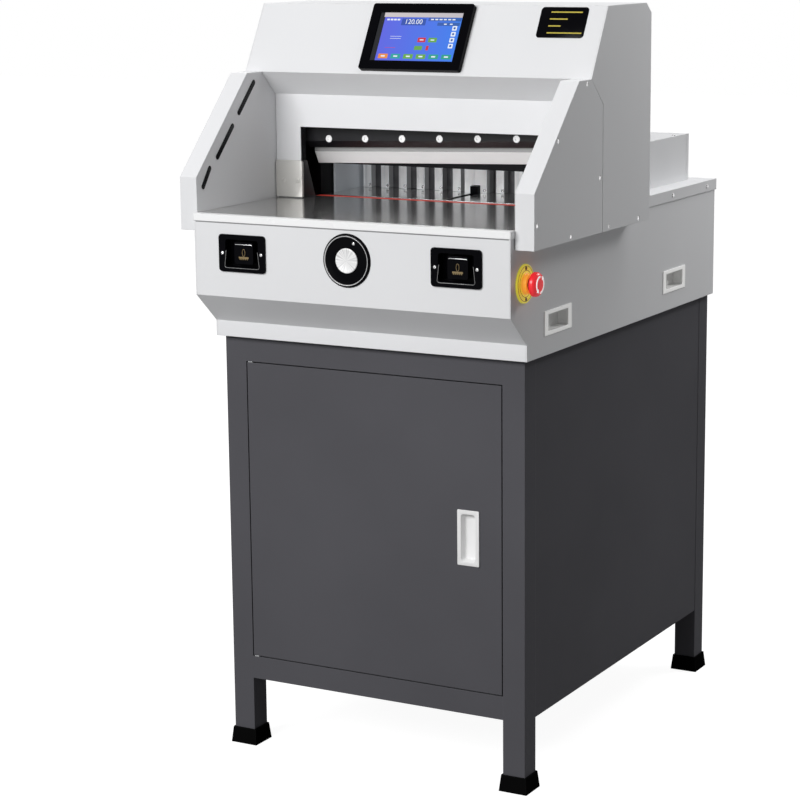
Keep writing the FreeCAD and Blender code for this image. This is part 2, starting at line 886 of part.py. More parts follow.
def side_guards():
    """The tall hollow guards beside the table, with the light curtain's windows inside."""
    knee = table + s.guard_knee
    screws = [(s.guard_front + 10, guard_low + 38), (s.guard_front + 86, knee + 73.5),
              (s.head_brow - 16, head_low - 7), (s.recess_front - 8, knee + 1.5),
              (s.guard_front + 133, guard_low + 7)]
    for side, label in ((-1, "left_guard"), (1, "right_guard")):
        guard = prism(label, "YZ", [guard_outline(0)], span(side, guard_in, guard_out))
        pocket(guard, "YZ", [guard_outline(s.sheet)], span(side, guard_in + s.sheet, guard_out - s.sheet))
        slots = [leaning(y, z, lean, length, s.window_width) for y, z, lean, length in window_places()]
        pocket(guard, "YZ", slots, span(side, guard_in - 1, guard_in + s.sheet))
        screw_seats(guard, screws, side)


def light_curtains():
    """Dark windows, three in each guard."""
    strips = []
    for side in (-1, 1):
        for y, z, lean, length in window_places():
            strip = doc.addObject("PartDesign::Body", "Window")
            outline = leaning(y, z, lean, length - 0.2, s.window_width - 0.2)
            pad(strip, "YZ", [outline], span(side, guard_in + 0.4, guard_in + s.sheet + 1))
            strips.append(strip)
    node(group(strips), "light_curtains")


def slope_direction():
    """Run, rise and length of the head's sloping front."""
    run = s.head_crest - s.head_brow
    rise = total_height - head_low
    return run, rise, root(run * run + rise * rise)


def head_front_panel():
    """The sloping front and the underside, folded from one sheet, with the screen's opening."""
    run, rise, length = slope_direction()
    across = s.sheet * length / rise
    turn_y = 1.257 * s.sheet
    turn_z = 0.196 * s.sheet
    back_y = 0.681 * s.sheet
    back_z = 0.732 * s.sheet
    outline = [(s.head_crest, total_height), (s.head_brow, head_low), (s.recess_front, recess_top),
               (s.recess_front + back_y, recess_top + back_z), (s.head_brow + turn_y, head_low + turn_z),
               (s.head_crest + across, total_height)]
    panel = prism("head_front_panel", "YZ", [outline], (-head_side, head_side))
    middle = screen_middle()
    room = 5.0
    half = (s.display_height / 2 + room) * rise / length
    sides = (s.screen_side - s.display_width / 2 - room, s.screen_side + s.display_width / 2 + room)
    hole = rectangle(sides, (middle[1] - half, middle[1] + half))
    pocket(panel, "XZ", [hole], (s.head_brow, s.head_crest + across))


def screen_middle():
    """Place of the screen's centre on the head's slope."""
    run, rise, length = slope_direction()
    down = (s.screen_edge + s.screen_height / 2) / length
    return s.head_crest - run * down, total_height - rise * down


def recess_plate():
    """The upright plate over the table with the knife's opening in it."""
    side = guard_in - 0.5
    outline = [(opening_side, table), (side, table), (side, recess_top), (-side, recess_top),
               (-side, table), (-opening_side, table), (-opening_side, table + s.opening_rise),
               (opening_side, table + s.opening_rise)]
    prism("recess_plate", "XZ", [outline], (s.recess_front, recess_back))


def head_side_panels():
    """The head's sides, behind the guards, with flanges that close them below and behind."""
    start = recess_back + s.seam
    screws = [(s.head_rear - 168, guard_low + 7), (s.head_rear - 47, guard_low + 7)]
    for side, label in ((-1, "head_left_panel"), (1, "head_right_panel")):
        outline = [(s.head_crest, total_height), (s.head_brow, head_low), (start, recess_top - s.sheet),
                   (start, guard_low), (s.head_rear, guard_low),
                   (s.head_rear, total_height - s.chamfer_drop),
                   (s.head_rear - s.chamfer_run, total_height)]
        panel = prism(label, "YZ", [outline], span(side, head_side, guard_out))
        strip = span(side, guard_in, head_side)
        pad(panel, "YZ", [rectangle((start, s.head_rear), (guard_low, guard_low + s.sheet))], strip)
        back = rectangle((s.head_rear - s.sheet, s.head_rear), (guard_low + s.sheet, table + 0.5))
        pad(panel, "YZ", [back], strip)
        screw_seats(panel, screws, side)


def head_top_cover():
    """The head's top and back in one sheet, cut out behind for the table."""
    run, rise, length = slope_direction()
    start = s.head_crest + s.sheet * length / rise
    top = total_height
    drop = top - s.chamfer_drop
    corner = 0.4 * s.sheet
    outline = [(start, top), (s.head_rear - s.chamfer_run, top), (s.head_rear, drop),
               (s.head_rear, table + 0.5), (s.head_rear - s.sheet, table + 0.5),
               (s.head_rear - s.sheet, drop - corner), (s.head_rear - s.chamfer_run - corner, top - s.sheet),
               (start, top - s.sheet)]
    cover = prism("head_top_cover", "YZ", [outline], (-head_side, head_side))
    inner = hood_side - s.sheet
    hole = rectangle((-inner, inner), (table - 1, hood_high - s.sheet))
    pocket(cover, "XZ", [hole], (s.head_rear - 3 * s.sheet, s.head_rear + 1))


def rear_table_cover():
    """The skirted sheet round the rear of the table."""
    side = body_side + s.sheet
    inner = hood_side - s.sheet
    end = s.body_depth + s.cover_overhang
    start = s.head_rear + 0.5
    thin = s.thin_sheet
    cut_end = hood_end - s.sheet - 0.5
    top = [(inner, start), (side, start), (side, end), (-side, end), (-side, start), (-inner, start),
           (-inner, cut_end), (inner, cut_end)]
    cover = prism("rear_table_cover", "XY", [top], (table - thin, table))
    skirt = [(side - thin, start), (side, start), (side, end), (-side, end), (-side, start),
             (thin - side, start), (thin - side, end - thin), (side - thin, end - thin)]
    pad(cover, "XY", [skirt], (table - s.cover_skirt, table - thin))


def rear_hood():
    """The hood over the back gauge's travel, open towards the head and below, and its end cap."""
    side = hood_side
    inner = (-side + s.sheet, side - s.sheet)
    joint = hood_end - s.hood_cap
    shells = []
    for start, end, hollow_end in ((s.head_rear, joint - s.seam, joint),
                                   (joint, hood_end, hood_end - s.sheet)):
        shell = doc.addObject("PartDesign::Body", "Hood")
        pad(shell, "XY", [rectangle((-side, side), (start, end))], (table, hood_high))
        pocket(shell, "XY", [rectangle(inner, (start - 1, hollow_end))], (table - 1, hood_high - s.sheet))
        shells.append(shell)
    node(group(shells), "rear_hood")


def lie_on_slope(obj):
    """Lays a sub-part that is drawn flat on the head's sloping front."""
    run, rise, length = slope_direction()
    middle = screen_middle()
    obj.Placement = FreeCAD.Placement(vector(), FreeCAD.Rotation(vector(1, 0, 0), 60))
    bind(obj, "Placement.Base.x", s.screen_side)
    bind(obj, "Placement.Base.y", front + middle[0])
    bind(obj, "Placement.Base.z", middle[1])
    obj.setExpression("Placement.Rotation.Angle", "atan(%s / %s)" % (rise.text, run.text))


def screen():
    """The touch screen: a bezel that stands proud of the slope and the display inside it."""
    bezel = solid_body("screen_bezel")
    outer = centred(0, 0, s.screen_width, s.screen_height)
    window = centred(0, 0, s.display_width, s.display_height)
    pad(bezel, "XY", [outer], (0, s.screen_proud))
    round_corners(bezel, "XY", outer, 4)
    pocket(bezel, "XY", [window], (-1, s.screen_proud + 1))
    lie_on_slope(bezel)
    face = s.screen_proud - s.display_sink
    display = prism("screen_display", "XY", [centred(0, 0, s.display_width - 0.2, s.display_height - 0.2)],
                    (-4, face))
    lie_on_slope(display)


def side_lays():
    """The brackets beside the knife that the paper's edge is laid against."""
    lays = []
    top = table + s.lay_height
    start = s.recess_front - s.lay_thick
    for side in (-1, 1):
        lay = doc.addObject("PartDesign::Body", "Lay")
        x = span(side, half_cut, half_cut + s.side_room)
        pad(lay, "XZ", [rectangle(x, (table + s.lay_foot_gap, top))], (start, s.recess_front))
        gusset = [(s.recess_front, table), (start + s.lay_reach, table), (start + s.lay_top, top),
                  (s.recess_front, top)]
        pad(lay, "YZ", [gusset], span(side, half_cut, half_cut + s.lay_wall))
        lays.append(lay)
    node(group(lays), "side_lays")


def rear_side_guides():
    """Upright guides along the paper's path behind the clamp."""
    guides = []
    y = (s.fence_start, hood_end - s.sheet - 2)
    for side in (-1, 1):
        guides.append(block(span(side, half_cut, half_cut + 3), y, (table, table + s.fence_rise)))
    node(group(guides), "rear_side_guides")


def side_cheeks():
    """The two steel cheeks of the machine frame, on the body's floor."""
    inner = half_cut + s.cheek_gap
    back = guide_back + s.cheek_depth
    toe = guide_back + s.cheek_toe
    heel = back + s.cheek_heel
    heel_rise = 41.0
    shoulder = 26.0
    nose = 66.0
    chin = 96.0
    outline = [(toe, floor_top), (heel, floor_top), (heel, floor_top + heel_rise), (back, table - shoulder),
               (back, beam_high), (guide_back, beam_high), (guide_back, table - nose), (toe, table - chin)]
    cheeks = []
    for side in (-1, 1):
        cheek = doc.addObject("PartDesign::Body", "Cheek")
        pad(cheek, "YZ", [outline], span(side, inner, inner + s.cheek_thick))
        cheeks.append(cheek)
    node(group(cheeks), "side_cheeks")


def cross_beam():
    """The beam between the cheeks, with the shelf that carries the clamp's drive."""
    side = half_cut + s.cheek_gap
    shelf = shelf_low
    shelf_front = spindle_y - s.clamp_bar
    back = beam_front + s.beam_depth
    outline = [(beam_front, beam_low), (back, beam_low), (back, beam_high), (shelf_front, beam_high),
               (shelf_front, shelf), (beam_front, shelf)]
    beam = prism("cross_beam", "YZ", [outline], (-side, side))
    bores = [circle(way * s.spindle_side, spindle_y, s.spindle_radius + 0.5) for way in (-1, 1)]
    pocket(beam, "XY", bores, (shelf - 1, beam_high + 1))


def slot_outline(x, z, shift, drop, room):
    """A slot for something that moves left by shift and down by drop from its rest place."""
    travel = root(shift * shift + drop * drop)
    along_x = shift / travel
    along_z = drop / travel
    reach = s.block_length / 2 + room
    half = s.guide_slot / 2
    corners = []
    for end, way in ((-reach, -1), (-reach, 1), (travel + reach, 1), (travel + reach, -1)):
        corners.append((x - end * along_x + way * half * along_z, z - end * along_z - way * half * along_x))
    return corners


def knife_guides():
    """Two plates with slanted slots: the right one is steeper, so the knife levels as it falls."""
    low = clamp_top + s.guide_rise
    high = shelf_low - 1
    end_room = 1.5
    limits = (clamp_front, guide_back)
    plates = []
    near = (pivot_x, pivot_z, s.swing_shift, swing_drop)
    far_run = pivot_span * tilt_run
    far_rise = pivot_span * tilt_rise
    far = (pivot_x + far_run, pivot_z + far_rise, s.swing_shift - pivot_span + far_run,
           swing_drop + far_rise)
    for x, z, shift, drop in (near, far):
        plate = doc.addObject("PartDesign::Body", "Guide")
        outline = rectangle((x - s.guide_before, x + s.guide_after), (low, high))
        slot = slot_outline(x, z, shift, drop, end_room)
        pad(plate, "XZ", [outline, slot], limits)
        plates.append(plate)
    node(group(plates), "knife_guides")


def knife_slide_block():
    """The block in the left guide that carries the knife's pivot pin."""
    shift = s.swing_shift / swing_travel
    drop = swing_drop / swing_travel
    half = s.guide_slot / 2 - s.slide_fit
    reach = s.block_length / 2
    corners = []
    for end, way in ((-reach, -1), (-reach, 1), (reach, 1), (reach, -1)):
        corners.append((pivot_x - end * shift + way * half * drop, pivot_z - end * drop - way * half * shift))
    bore = circle(pivot_x, pivot_z, s.rod_pin + s.pin_fit)
    prism("knife_slide_block", "XZ", [corners, bore], (clamp_front, guide_back - s.slide_fit))


def swing(obj):
    """Hangs a sub-part that is drawn level about the knife's pivot, at its tilt at rest."""
    obj.Placement = FreeCAD.Placement(vector(), FreeCAD.Rotation(vector(0, -1, 0), s.tilt.value))
    bind(obj, "Placement.Base.x", pivot_x)
    bind(obj, "Placement.Base.y", front)
    bind(obj, "Placement.Base.z", pivot_z)
    bind(obj, "Placement.Rotation.Angle", s.tilt)


def bolt_places():
    count = int(s.bolt_count.value)
    pitch = (blade_length - 2 * s.bolt_margin) / (count - 1)
    return [blade_ends[0] + s.bolt_margin + i * pitch for i in range(count)]


def knife_carrier():
    """The black beam that the knife is bolted behind, with its pins and roller at the back."""
    edge = -s.pivot_rise
    low = edge + s.blade_show
    top = s.carrier_top
    nose = carrier_front + s.carrier_chamfer
    outline = [(carrier_front, low + s.carrier_chamfer), (nose, low), (blade_back, low), (blade_back, top),
               (carrier_front, top)]
    carrier = prism("knife_carrier", "YZ", [outline], carrier_ends)
    rebate = rectangle((blade_front, blade_back + 1), (low - 1, edge + s.blade_height + s.slide_fit))
    pocket(carrier, "YZ", [rebate], shrink(blade_ends, -0.3))
    heads = [circle(x, edge + s.bolt_rise, s.bolt_head + 1) for x in bolt_places()]
    pocket(carrier, "XZ", heads, (carrier_front - 1, carrier_front + s.bolt_seat))
    shanks = [circle(x, edge + s.bolt_rise, s.bolt_shank + s.pin_fit) for x in bolt_places()]
    pocket(carrier, "XZ", shanks, (carrier_front - 1, blade_front + 1))
    pins = [circle(0, 0, s.rod_pin), circle(pivot_span, 0, s.guide_slot / 2 - s.roller_fit),
            circle(rod_side, -s.rod_drop, s.rod_pin)]
    pad(carrier, "XZ", pins, (blade_back, guide_back - s.slide_fit - s.pin_fit))
    swing(carrier)


def knife_blade():
    """The steel blade, bevelled towards the operator."""
    edge = -s.pivot_rise
    outline = [(blade_front, edge + s.bevel), (blade_back, edge), (blade_back, edge + s.blade_height),
               (blade_front, edge + s.blade_height)]
    blade = prism("knife_blade", "YZ", [outline], blade_ends)
    holes = [circle(x, edge + s.bolt_rise, s.bolt_shank + s.pin_fit) for x in bolt_places()]
    pocket(blade, "XZ", holes, (blade_front - 1, blade_back + 1))
    swing(blade)


def knife_bolts():
    """Socket head bolts that hold the blade in the carrier."""
    bolts = []
    seat = carrier_front + s.bolt_seat
    head_front = carrier_front + 1
    z = -s.pivot_rise + s.bolt_rise
    for x in bolt_places():
        hexagon = doc.addObject("Part::Prism", "Socket")
        hexagon.Polygon = 6
        bind(hexagon, "Circumradius", s.bolt_head / 2)
        bind(hexagon, "Height", s.bolt_socket + 1)
        stand_up(hexagon, "y", (x, z), head_front - 1)
        head = cut(rod("y", (x, z), s.bolt_head, (head_front, seat)), [hexagon])
        bolts.append(fuse([head, rod("y", (x, z), s.bolt_shank, (seat, blade_back - 1))]))
    bolts_group = node(group(bolts), "knife_bolts")
    swing(bolts_group)


def finger_places():
    places = []
    count = int(s.finger_count.value)
    pitch = (half_cut - s.finger_margin - s.finger_first) / (count - 1)
    for i in range(count):
        x = s.finger_first + i * pitch
        places += [-x, x]
    return places


def clamp_beam():
    """The comb that presses the pile: its gaps let the gauge's fingers run in under the knife."""
    side = half_cut - s.clamp_side_gap
    back = clamp_front + s.clamp_depth
    bar_back = clamp_front + s.clamp_bar
    half_gap = s.finger_width / 2 + s.finger_room
    centre_gap = s.plate_width / 2 + s.finger_room
    outline = [(-side, clamp_front), (side, clamp_front)]
    gaps = [(x, half_gap) for x in finger_places() if value(x) > 0]
    right = []
    for x, half in sorted(gaps, key=lambda gap: -value(gap[0])):
        right += [(x + half, back), (x + half, bar_back), (x - half, bar_back), (x - half, back)]
    right += [(centre_gap, back), (centre_gap, bar_back)]
    outline += [(side, back)] + right
    outline += [(-u, v) for u, v in reversed([(side, back)] + right)]
    prism("clamp_beam", "XY", [outline], (clamp_low, clamp_top))


def clamp_spindles():
    """Threaded spindles fixed in the clamp, drawn up and down by the turning nuts above."""
    spindles = [rod("z", (way * s.spindle_side, spindle_y), s.spindle_radius,
                    (clamp_top, spindle_top)) for way in (-1, 1)]
    node(group(spindles), "clamp_spindles")


def clamp_pulleys():
    """The belt pulleys on the shelf whose threaded bores draw the spindles."""
    low = beam_high + s.slide_fit
    for side, label in ((-1, "clamp_pulley_left"), (1, "clamp_pulley_right")):
        centre = (side * s.spindle_side, spindle_y)
        pulley = prism(label, "XY", [circle(*centre, s.pulley_radius),
                                     circle(*centre, s.spindle_radius + s.pin_fit)],
                       (low, low + s.pulley_height))
        flange = [circle(*centre, s.pulley_radius + 2), circle(*centre, s.spindle_radius + s.pin_fit)]
        pad(pulley, "XY", flange, (low + s.pulley_height, low + s.pulley_height + 1.5))


def clamp_belt():
    """The belt round both pulleys."""
    low = beam_high + s.slide_fit + 1
    inner = s.pulley_radius + 0.3
    outer = inner + s.belt_thick
    limits = (low, low + s.pulley_height - 2)
    loops = []
    for radius in (outer, inner):
        ends = [rod("z", (way * s.spindle_side, spindle_y), radius, limits) for way in (-1, 1)]
        run = block((-s.spindle_side, s.spindle_side), (spindle_y - radius, spindle_y + radius), limits)
        loops.append(fuse(ends + [run]))
    node(cut(loops[0], [loops[1]]), "clamp_belt")


def clamp_motor():
    """The geared motor that turns the left pulley, on a foot behind the belt."""
    gear_low = beam_high + s.pulley_height + 4
    gear_high = gear_low + 40
    gear_back = beam_front + 30
    foot_thick = 10.0
    motor_radius = 25.0
    motor_length = 100.0
    x = -s.spindle_side
    across = (x - 22, x + 26)
    gear = block(across, (spindle_y - 20, gear_back), (gear_low, gear_high))
    foot = block(across, (gear_back - foot_thick, gear_back), (beam_high, gear_low))
    axis = (spindle_y + 8, gear_low + motor_radius + 1)
    motor = rod("x", axis, motor_radius, (across[1], across[1] + motor_length))
    bore = rod("z", (x, spindle_y), s.spindle_radius + 0.5, (gear_low - 1, gear_high + 1))
    node(cut(fuse([gear, foot, motor]), [bore]), "clamp_motor")


def back_gauge():
    """The gauge: upright fingers on a bar, and the plate over the table's slot in the middle."""
    foot = table + s.slot_fit
    top = table + s.gauge_height
    outer = half_cut - s.finger_margin + s.finger_width / 2
    bar = rectangle((-outer, outer), (finger_back, gauge_back_face))
    gauge = prism("back_gauge", "XY", [bar], (foot, top))
    for x in finger_places():
        finger = rectangle((x - s.finger_width / 2, x + s.finger_width / 2), (finger_front, finger_back))
        pad(gauge, "XY", [finger], (foot, top))
    half = s.plate_width / 2
    pad(gauge, "XY", [rectangle((-half, half), (gauge_front, finger_back))], (foot, top))
    room = 1.5
    notch = rectangle((-block_side - room, block_side + room), (foot - 1, foot + s.block_height + room))
    pocket(gauge, "XZ", [notch], (gauge_front - 1, gauge_front + s.block_tail + room))


def carriage_limits():
    return (gauge_front - s.carriage_lead, gauge_front + s.carriage_tail)


def gauge_carriage():
    """The carriage under the table and the block that comes up through the slot."""
    half = s.table_slot / 2
    foot = table + s.slot_fit
    y = carriage_limits()
    neck_low = table_low - 8
    carriage = solid_body("gauge_carriage")
    side = s.rail_side + s.carriage_margin
    body_loops = [rectangle((-side, side), (gauge_axis_z - s.carriage_half, neck_low))]
    body_loops += [circle(way * s.rail_side, gauge_axis_z, s.rail_radius + s.pin_fit) for way in (-1, 1)]
    body_loops.append(circle(0, gauge_axis_z, s.screw_radius + s.screw_fit))
    pad(carriage, "XZ", body_loops, y)
    limits = (gauge_front - s.block_lead, gauge_front + s.block_tail)
    neck = rectangle((-half + s.slot_fit, half - s.slot_fit), limits)
    pad(carriage, "XY", [neck], (neck_low, foot))
    pad(carriage, "XY", [rectangle((-block_side, block_side), limits)], (foot, foot + s.block_height))


def hanger_limits():
    lead = carriage_limits()
    near = lead[0] - s.gauge_forward - 1
    far = lead[1] + gauge_back + 2
    return (near - s.hanger_thick, near), (far, far + s.hanger_thick)


def gauge_rails():
    """Two guide rods hung under the table by a block at each end."""
    near, far = hanger_limits()
    rails = [rod("y", (way * s.rail_side, gauge_axis_z), s.rail_radius, (near[0], far[1])) for way in (-1, 1)]
    margin = 15.0
    width = (-s.rail_side - margin, s.rail_side + margin)
    hangers = [block(width, y, (gauge_axis_z - margin, table_low)) for y in (near, far)]
    bore = rod("y", (0, gauge_axis_z), s.screw_radius + s.screw_fit, (near[0] - 1, far[1] + 1))
    node(cut(fuse(rails + hangers), [bore]), "gauge_rails")


def gauge_screw():
    """The gauge's lead screw, with the coupling to its motor."""
    near, far = hanger_limits()
    coupling_end = near[0] - 6
    axis = (0, gauge_axis_z)
    screw = prism("gauge_screw", "XZ", [circle(*axis, s.screw_radius)], (coupling_end - 4, far[1]))
    coupling = (coupling_end - s.coupling_length, coupling_end)
    pad(screw, "XZ", [circle(*axis, s.coupling_radius)], coupling)


def gauge_motor():
    """The gauge's stepper motor, flange mounted under the table."""
    near, far = hanger_limits()
    half = s.gauge_axis - s.table_thick
    face = near[0] - 6 - s.coupling_length - 0.3
    boss = 6.0
    boss_radius = 19.0
    body_limits = (face - boss - s.stepper_length, face - boss)
    motor = prism("gauge_motor", "XZ", [centred(0, gauge_axis_z, 2 * half, 2 * half)], body_limits)
    pad(motor, "XZ", [circle(0, gauge_axis_z, boss_radius)], (face - boss, face))


def crank_geometry():
    """Rest and bottom places of the rod's pin on the carrier, the crank's throw and the rod."""
    tilt = math.radians(s.tilt.value)
    x = rod_side.value
    z = -s.rod_drop.value
    rest = (pivot_x.value + x * math.cos(tilt) - z * math.sin(tilt),
            pivot_z.value + x * math.sin(tilt) + z * math.cos(tilt))
    bottom = (pivot_x.value - s.swing_shift.value + x, pivot_z.value - swing_drop.value + z)
    near = (rest[0] - crank_x.value, rest[1] - crank_z.value)
    far = (bottom[0] - crank_x.value, bottom[1] - crank_z.value)
    throw = (near[1] - far[1] - (far[0] ** 2 - near[0] ** 2) / (near[1] + far[1])) / 2
    return rest, bottom, throw


def pull_rod():
    """The rod from the crank to the carrier's right end, with its crank pin at the foot."""
    rest, bottom, throw = crank_geometry()
    foot = (crank_x.value, crank_z.value + throw)
    y = blade_back.value + s.clamp_gap.value
    thick = s.rod_thick.value
    eye = s.rod_eye.value
    length = math.hypot(rest[0] - foot[0], rest[1] - foot[1])
    lean = math.degrees(math.atan2(rest[0] - foot[0], rest[1] - foot[1]))
    along = vector(0, 1, 0)
    width = s.rod_width.value
    shank = Part.makeBox(width, thick, length, vector(-width / 2, y, 0))
    ends = [Part.makeCylinder(eye, thick, vector(0, y, 0), along),
            Part.makeCylinder(s.rod_top_eye.value, thick, vector(0, y, length), along)]
    pin_length = s.guide_thick.value - s.slide_fit.value
    pin = Part.makeCylinder(s.rod_foot_pin.value, pin_length, vector(0, y, 0), along)
    bore = Part.makeCylinder(s.rod_pin.value + s.pin_fit.value, thick + 2, vector(0, y - 1, length), along)
    arm = doc.addObject("Part::Feature", "Rod")
    arm.Shape = shank.fuse(ends + [pin]).cut(bore).removeSplitter()
    arm.Placement = FreeCAD.Placement(vector(foot[0], 0, foot[1]), FreeCAD.Rotation(vector(0, 1, 0), lean))
    node(arm, "pull_rod")


def crank_disc():
    """The crank on the gearbox's shaft, facing the rod's pin."""
    centre = (crank_x, crank_z)
    back = guide_back + s.crank_thick
    shaft = 12.0
    shaft_length = 6.0
    disc = prism("crank_disc", "XZ", [circle(*centre, s.crank_disc)], (guide_back, back))
    pad(disc, "XZ", [circle(*centre, shaft)], (back, back + shaft_length))
    lightening = [centred(crank_x, crank_z - 30, 40, 24)]
    pocket(disc, "XZ", lightening, (back - s.crank_thick / 2, back + 1))


def gear_motor():
    """The knife's worm gearbox and its motor, on feet on the body's floor."""
    start = guide_back + s.crank_thick + 6.3
    end = start + s.gearbox_depth
    right = half_cut + s.cheek_gap - 1
    left = right - s.gearbox_width
    box = block((left, right), (start, end), (crank_z - s.gearbox_half, crank_z + s.gearbox_half))
    axis = ((start + end) / 2, crank_z - 5)
    motor = rod("x", axis, s.motor_radius, (left - s.motor_length, left))
    foot_width = 24.0
    foot_margin = 5.0
    feet = []
    for set_in in (66.0, 28.0, 190.0):
        x = (right - set_in, right - set_in + foot_width)
        feet.append(block(x, (start + foot_margin, end - foot_margin), (floor_top, crank_z - 40)))
    node(fuse([box, motor] + feet), "gear_motor")


def control_box():
    """The box of controls on the body's back wall, with the mains inlet through the wall."""
    wall = s.body_depth - s.sheet
    middle = control_middle()
    face = s.body_depth + 1.5
    half = s.control_width / 2
    outline = rectangle((middle - half, middle + half), (floor_top, floor_top + s.control_height))
    box = prism("control_box", "XZ", [outline], (wall - s.control_depth, wall))
    pad(box, "XZ", [inlet_outline(0)], (wall, face))
    socket_depth = 14.0
    pocket(box, "XZ", [inlet_outline(-5)], (wall - socket_depth, face + 1))


def button_boxes():
    """The recessed housings of the two cut buttons."""
    boxes = []
    for side in (-1, 1):
        x = side * button_x
        box = doc.addObject("PartDesign::Body", "Housing")
        face = centred(x, panel_centre, s.box_width, s.box_height)
        pad(box, "XZ", [face], (-s.box_proud, 0))
        round_corners(box, "XZ", face, 6)
        wall = 2 * s.box_wall
        back = centred(x, panel_centre, s.cup_width + wall, s.cup_height + wall)
        pad(box, "XZ", [back], (0, s.cup_depth + s.box_wall))
        cup = centred(x, panel_centre, s.cup_width, s.cup_height)
        pocket(box, "XZ", [cup], (-s.box_proud - 1, s.cup_depth))
        round_corners(box, "XZ", cup, 5)
        guide = centred(x, panel_centre, s.button_stem + 0.6, s.button_stem + 0.6)
        pocket(box, "XZ", [guide], (s.cup_depth - 1, s.cup_depth + s.box_wall + 1))
        boxes.append(box)
    node(group(boxes), "button_boxes")


def cut_buttons():
    """The two buttons that are pressed together to cut."""
    face = 3.0
    for side, label in ((-1, "left_cut_button"), (1, "right_cut_button")):
        x = side * button_x
        outline = centred(x, panel_centre, s.button_size, s.button_size)
        back = s.cup_depth - s.button_travel - 0.5
        button = prism(label, "XZ", [outline], (face, back))
        round_corners(button, "XZ", outline, 3)
        stem = centred(x, panel_centre, s.button_stem, s.button_stem)
        pad(button, "XZ", [stem], (back, s.cup_depth + s.box_wall + 2))


def hand_wheel():
    """The hand wheel: a fixed ring, the dished dial that turns in it and its bright hub."""
    centre = (0, panel_centre)
    face = -s.wheel_proud
    dish = 3.5
    back = -1.0
    ring = solid_body("hand_wheel_bezel")
    inner = s.dial_radius + s.slide_fit
    pad(ring, "XZ", [circle(*centre, s.wheel_radius), circle(*centre, inner)], (face, 0))
    dial = solid_body("hand_wheel_dial")
    pad(dial, "XZ", [circle(*centre, s.dial_radius)], (face, back))
    pocket(dial, "XZ", [circle(*centre, s.dial_radius - dish)], (face - 1, face + dish))
    dimple = circle(s.dimple_side, panel_centre + s.dimple_rise, s.dimple_radius)
    pocket(dial, "XZ", [dimple], (face, face + 6))
    shaft_radius = 10.0
    pad(dial, "XZ", [circle(*centre, shaft_radius)], (back, 16))
    hub = solid_body("hand_wheel_hub")
    pad(hub, "XZ", [circle(*centre, s.hub_radius)], (face + 1, face + dish))


def emergency_stop():
    """The stop button: yellow collar, stem that is pushed in and red head that twists on it."""
    y = s.stop_set
    z = table - s.stop_drop
    plate = 3.0
    stem_radius = 5.0
    face = body_side + s.stop_height
    head_back = face - s.stop_head
    collar = solid_body("stop_collar")
    bore = circle(y, z, s.stop_stem + 0.3)
    pad(collar, "YZ", [circle(y, z, s.collar_radius), bore], (body_side, body_side + plate))
    sleeve_end = head_back - s.stop_travel - 1
    pad(collar, "YZ", [circle(y, z, s.collar_sleeve), bore], (body_side + plate, sleeve_end))
    stem = solid_body("stop_plunger")
    inside = 20.0
    neck = 6.0
    pad(stem, "YZ", [circle(y, z, s.stop_stem)], (body_side - inside, head_back))
    pad(stem, "YZ", [circle(y, z, stem_radius)], (head_back, head_back + neck))
    skirt_end = face - s.stop_head / 2
    head = fuse([rod("x", (y, z), s.mushroom_radius, (head_back, skirt_end)),
                 cone("x", (y, z), s.mushroom_radius, s.mushroom_radius * 0.75, (skirt_end, face))])
    socket = rod("x", (y, z), stem_radius + s.pin_fit, (head_back - 1, head_back + neck + 0.3))
    node(cut(head, [socket]), "stop_button")


def door_catch():
    """The magnetic catch under the lintel that the door's skin rests against."""
    catch = solid_body("door_catch")
    width = 46.0
    margin = 12.0
    depth = 14.0
    lip = 4.0
    right = door_side - s.thin_sheet - margin
    x = (right - width, right)
    start = stand_front + s.thin_sheet + 0.5
    z = (lintel - 17, lintel - s.door_gap - s.thin_sheet - 1.5)
    pad(catch, "XZ", [rectangle(x, z)], (start, start + depth))
    tab = (leg_front - 9, leg_front)
    pad(catch, "XZ", [rectangle(x, (z[0], lintel))], tab)
    pad(catch, "XZ", [rectangle(x, (z[0], z[0] + lip))], (start + depth, tab[0]))


def build():
    stand_frame()
    rubber_feet()
    stand_panels()
    cabinet_door()
    door_hinge_pins()
    door_handle()
    base_tray()
    base_front_panel()
    base_side_panels()
    handle_cups()
    table_trim()
    work_table()
    cutting_stick()
    side_guards()
    light_curtains()
    head_front_panel()
    recess_plate()
    head_side_panels()
    head_top_cover()
    rear_table_cover()
    rear_hood()
    screen()
    side_lays()
    rear_side_guides()
    side_cheeks()
    cross_beam()
    knife_guides()
    knife_slide_block()
    knife_carrier()
    knife_blade()
    knife_bolts()
    clamp_beam()
    clamp_spindles()
    clamp_pulleys()
    clamp_belt()
    clamp_motor()
    back_gauge()
    gauge_carriage()
    gauge_rails()
    gauge_screw()
    gauge_motor()
    pull_rod()
    crank_disc()
    gear_motor()
    control_box()
    button_boxes()
    cut_buttons()
    hand_wheel()
    emergency_stop()
    door_catch()


def check():
    """Stops the build when a feature failed or a pocket took nothing away."""
    for obj in doc.Objects:
        if "Invalid" in obj.State or "Error" in obj.State:
            raise ValueError("%s (%s) failed" % (obj.Label, obj.Name))
        if obj.TypeId == "PartDesign::Pocket":
            if obj.Shape.Volume > obj.BaseFeature.Shape.Volume - 0.5:
                raise ValueError("a pocket in %s cuts nothing" % obj.getParentGeoFeatureGroup().Label)
    for obj in NODES:
        if obj.Shape.isNull() or not obj.Shape.isValid():
            raise ValueError("%s has no valid shape" % obj.Label)


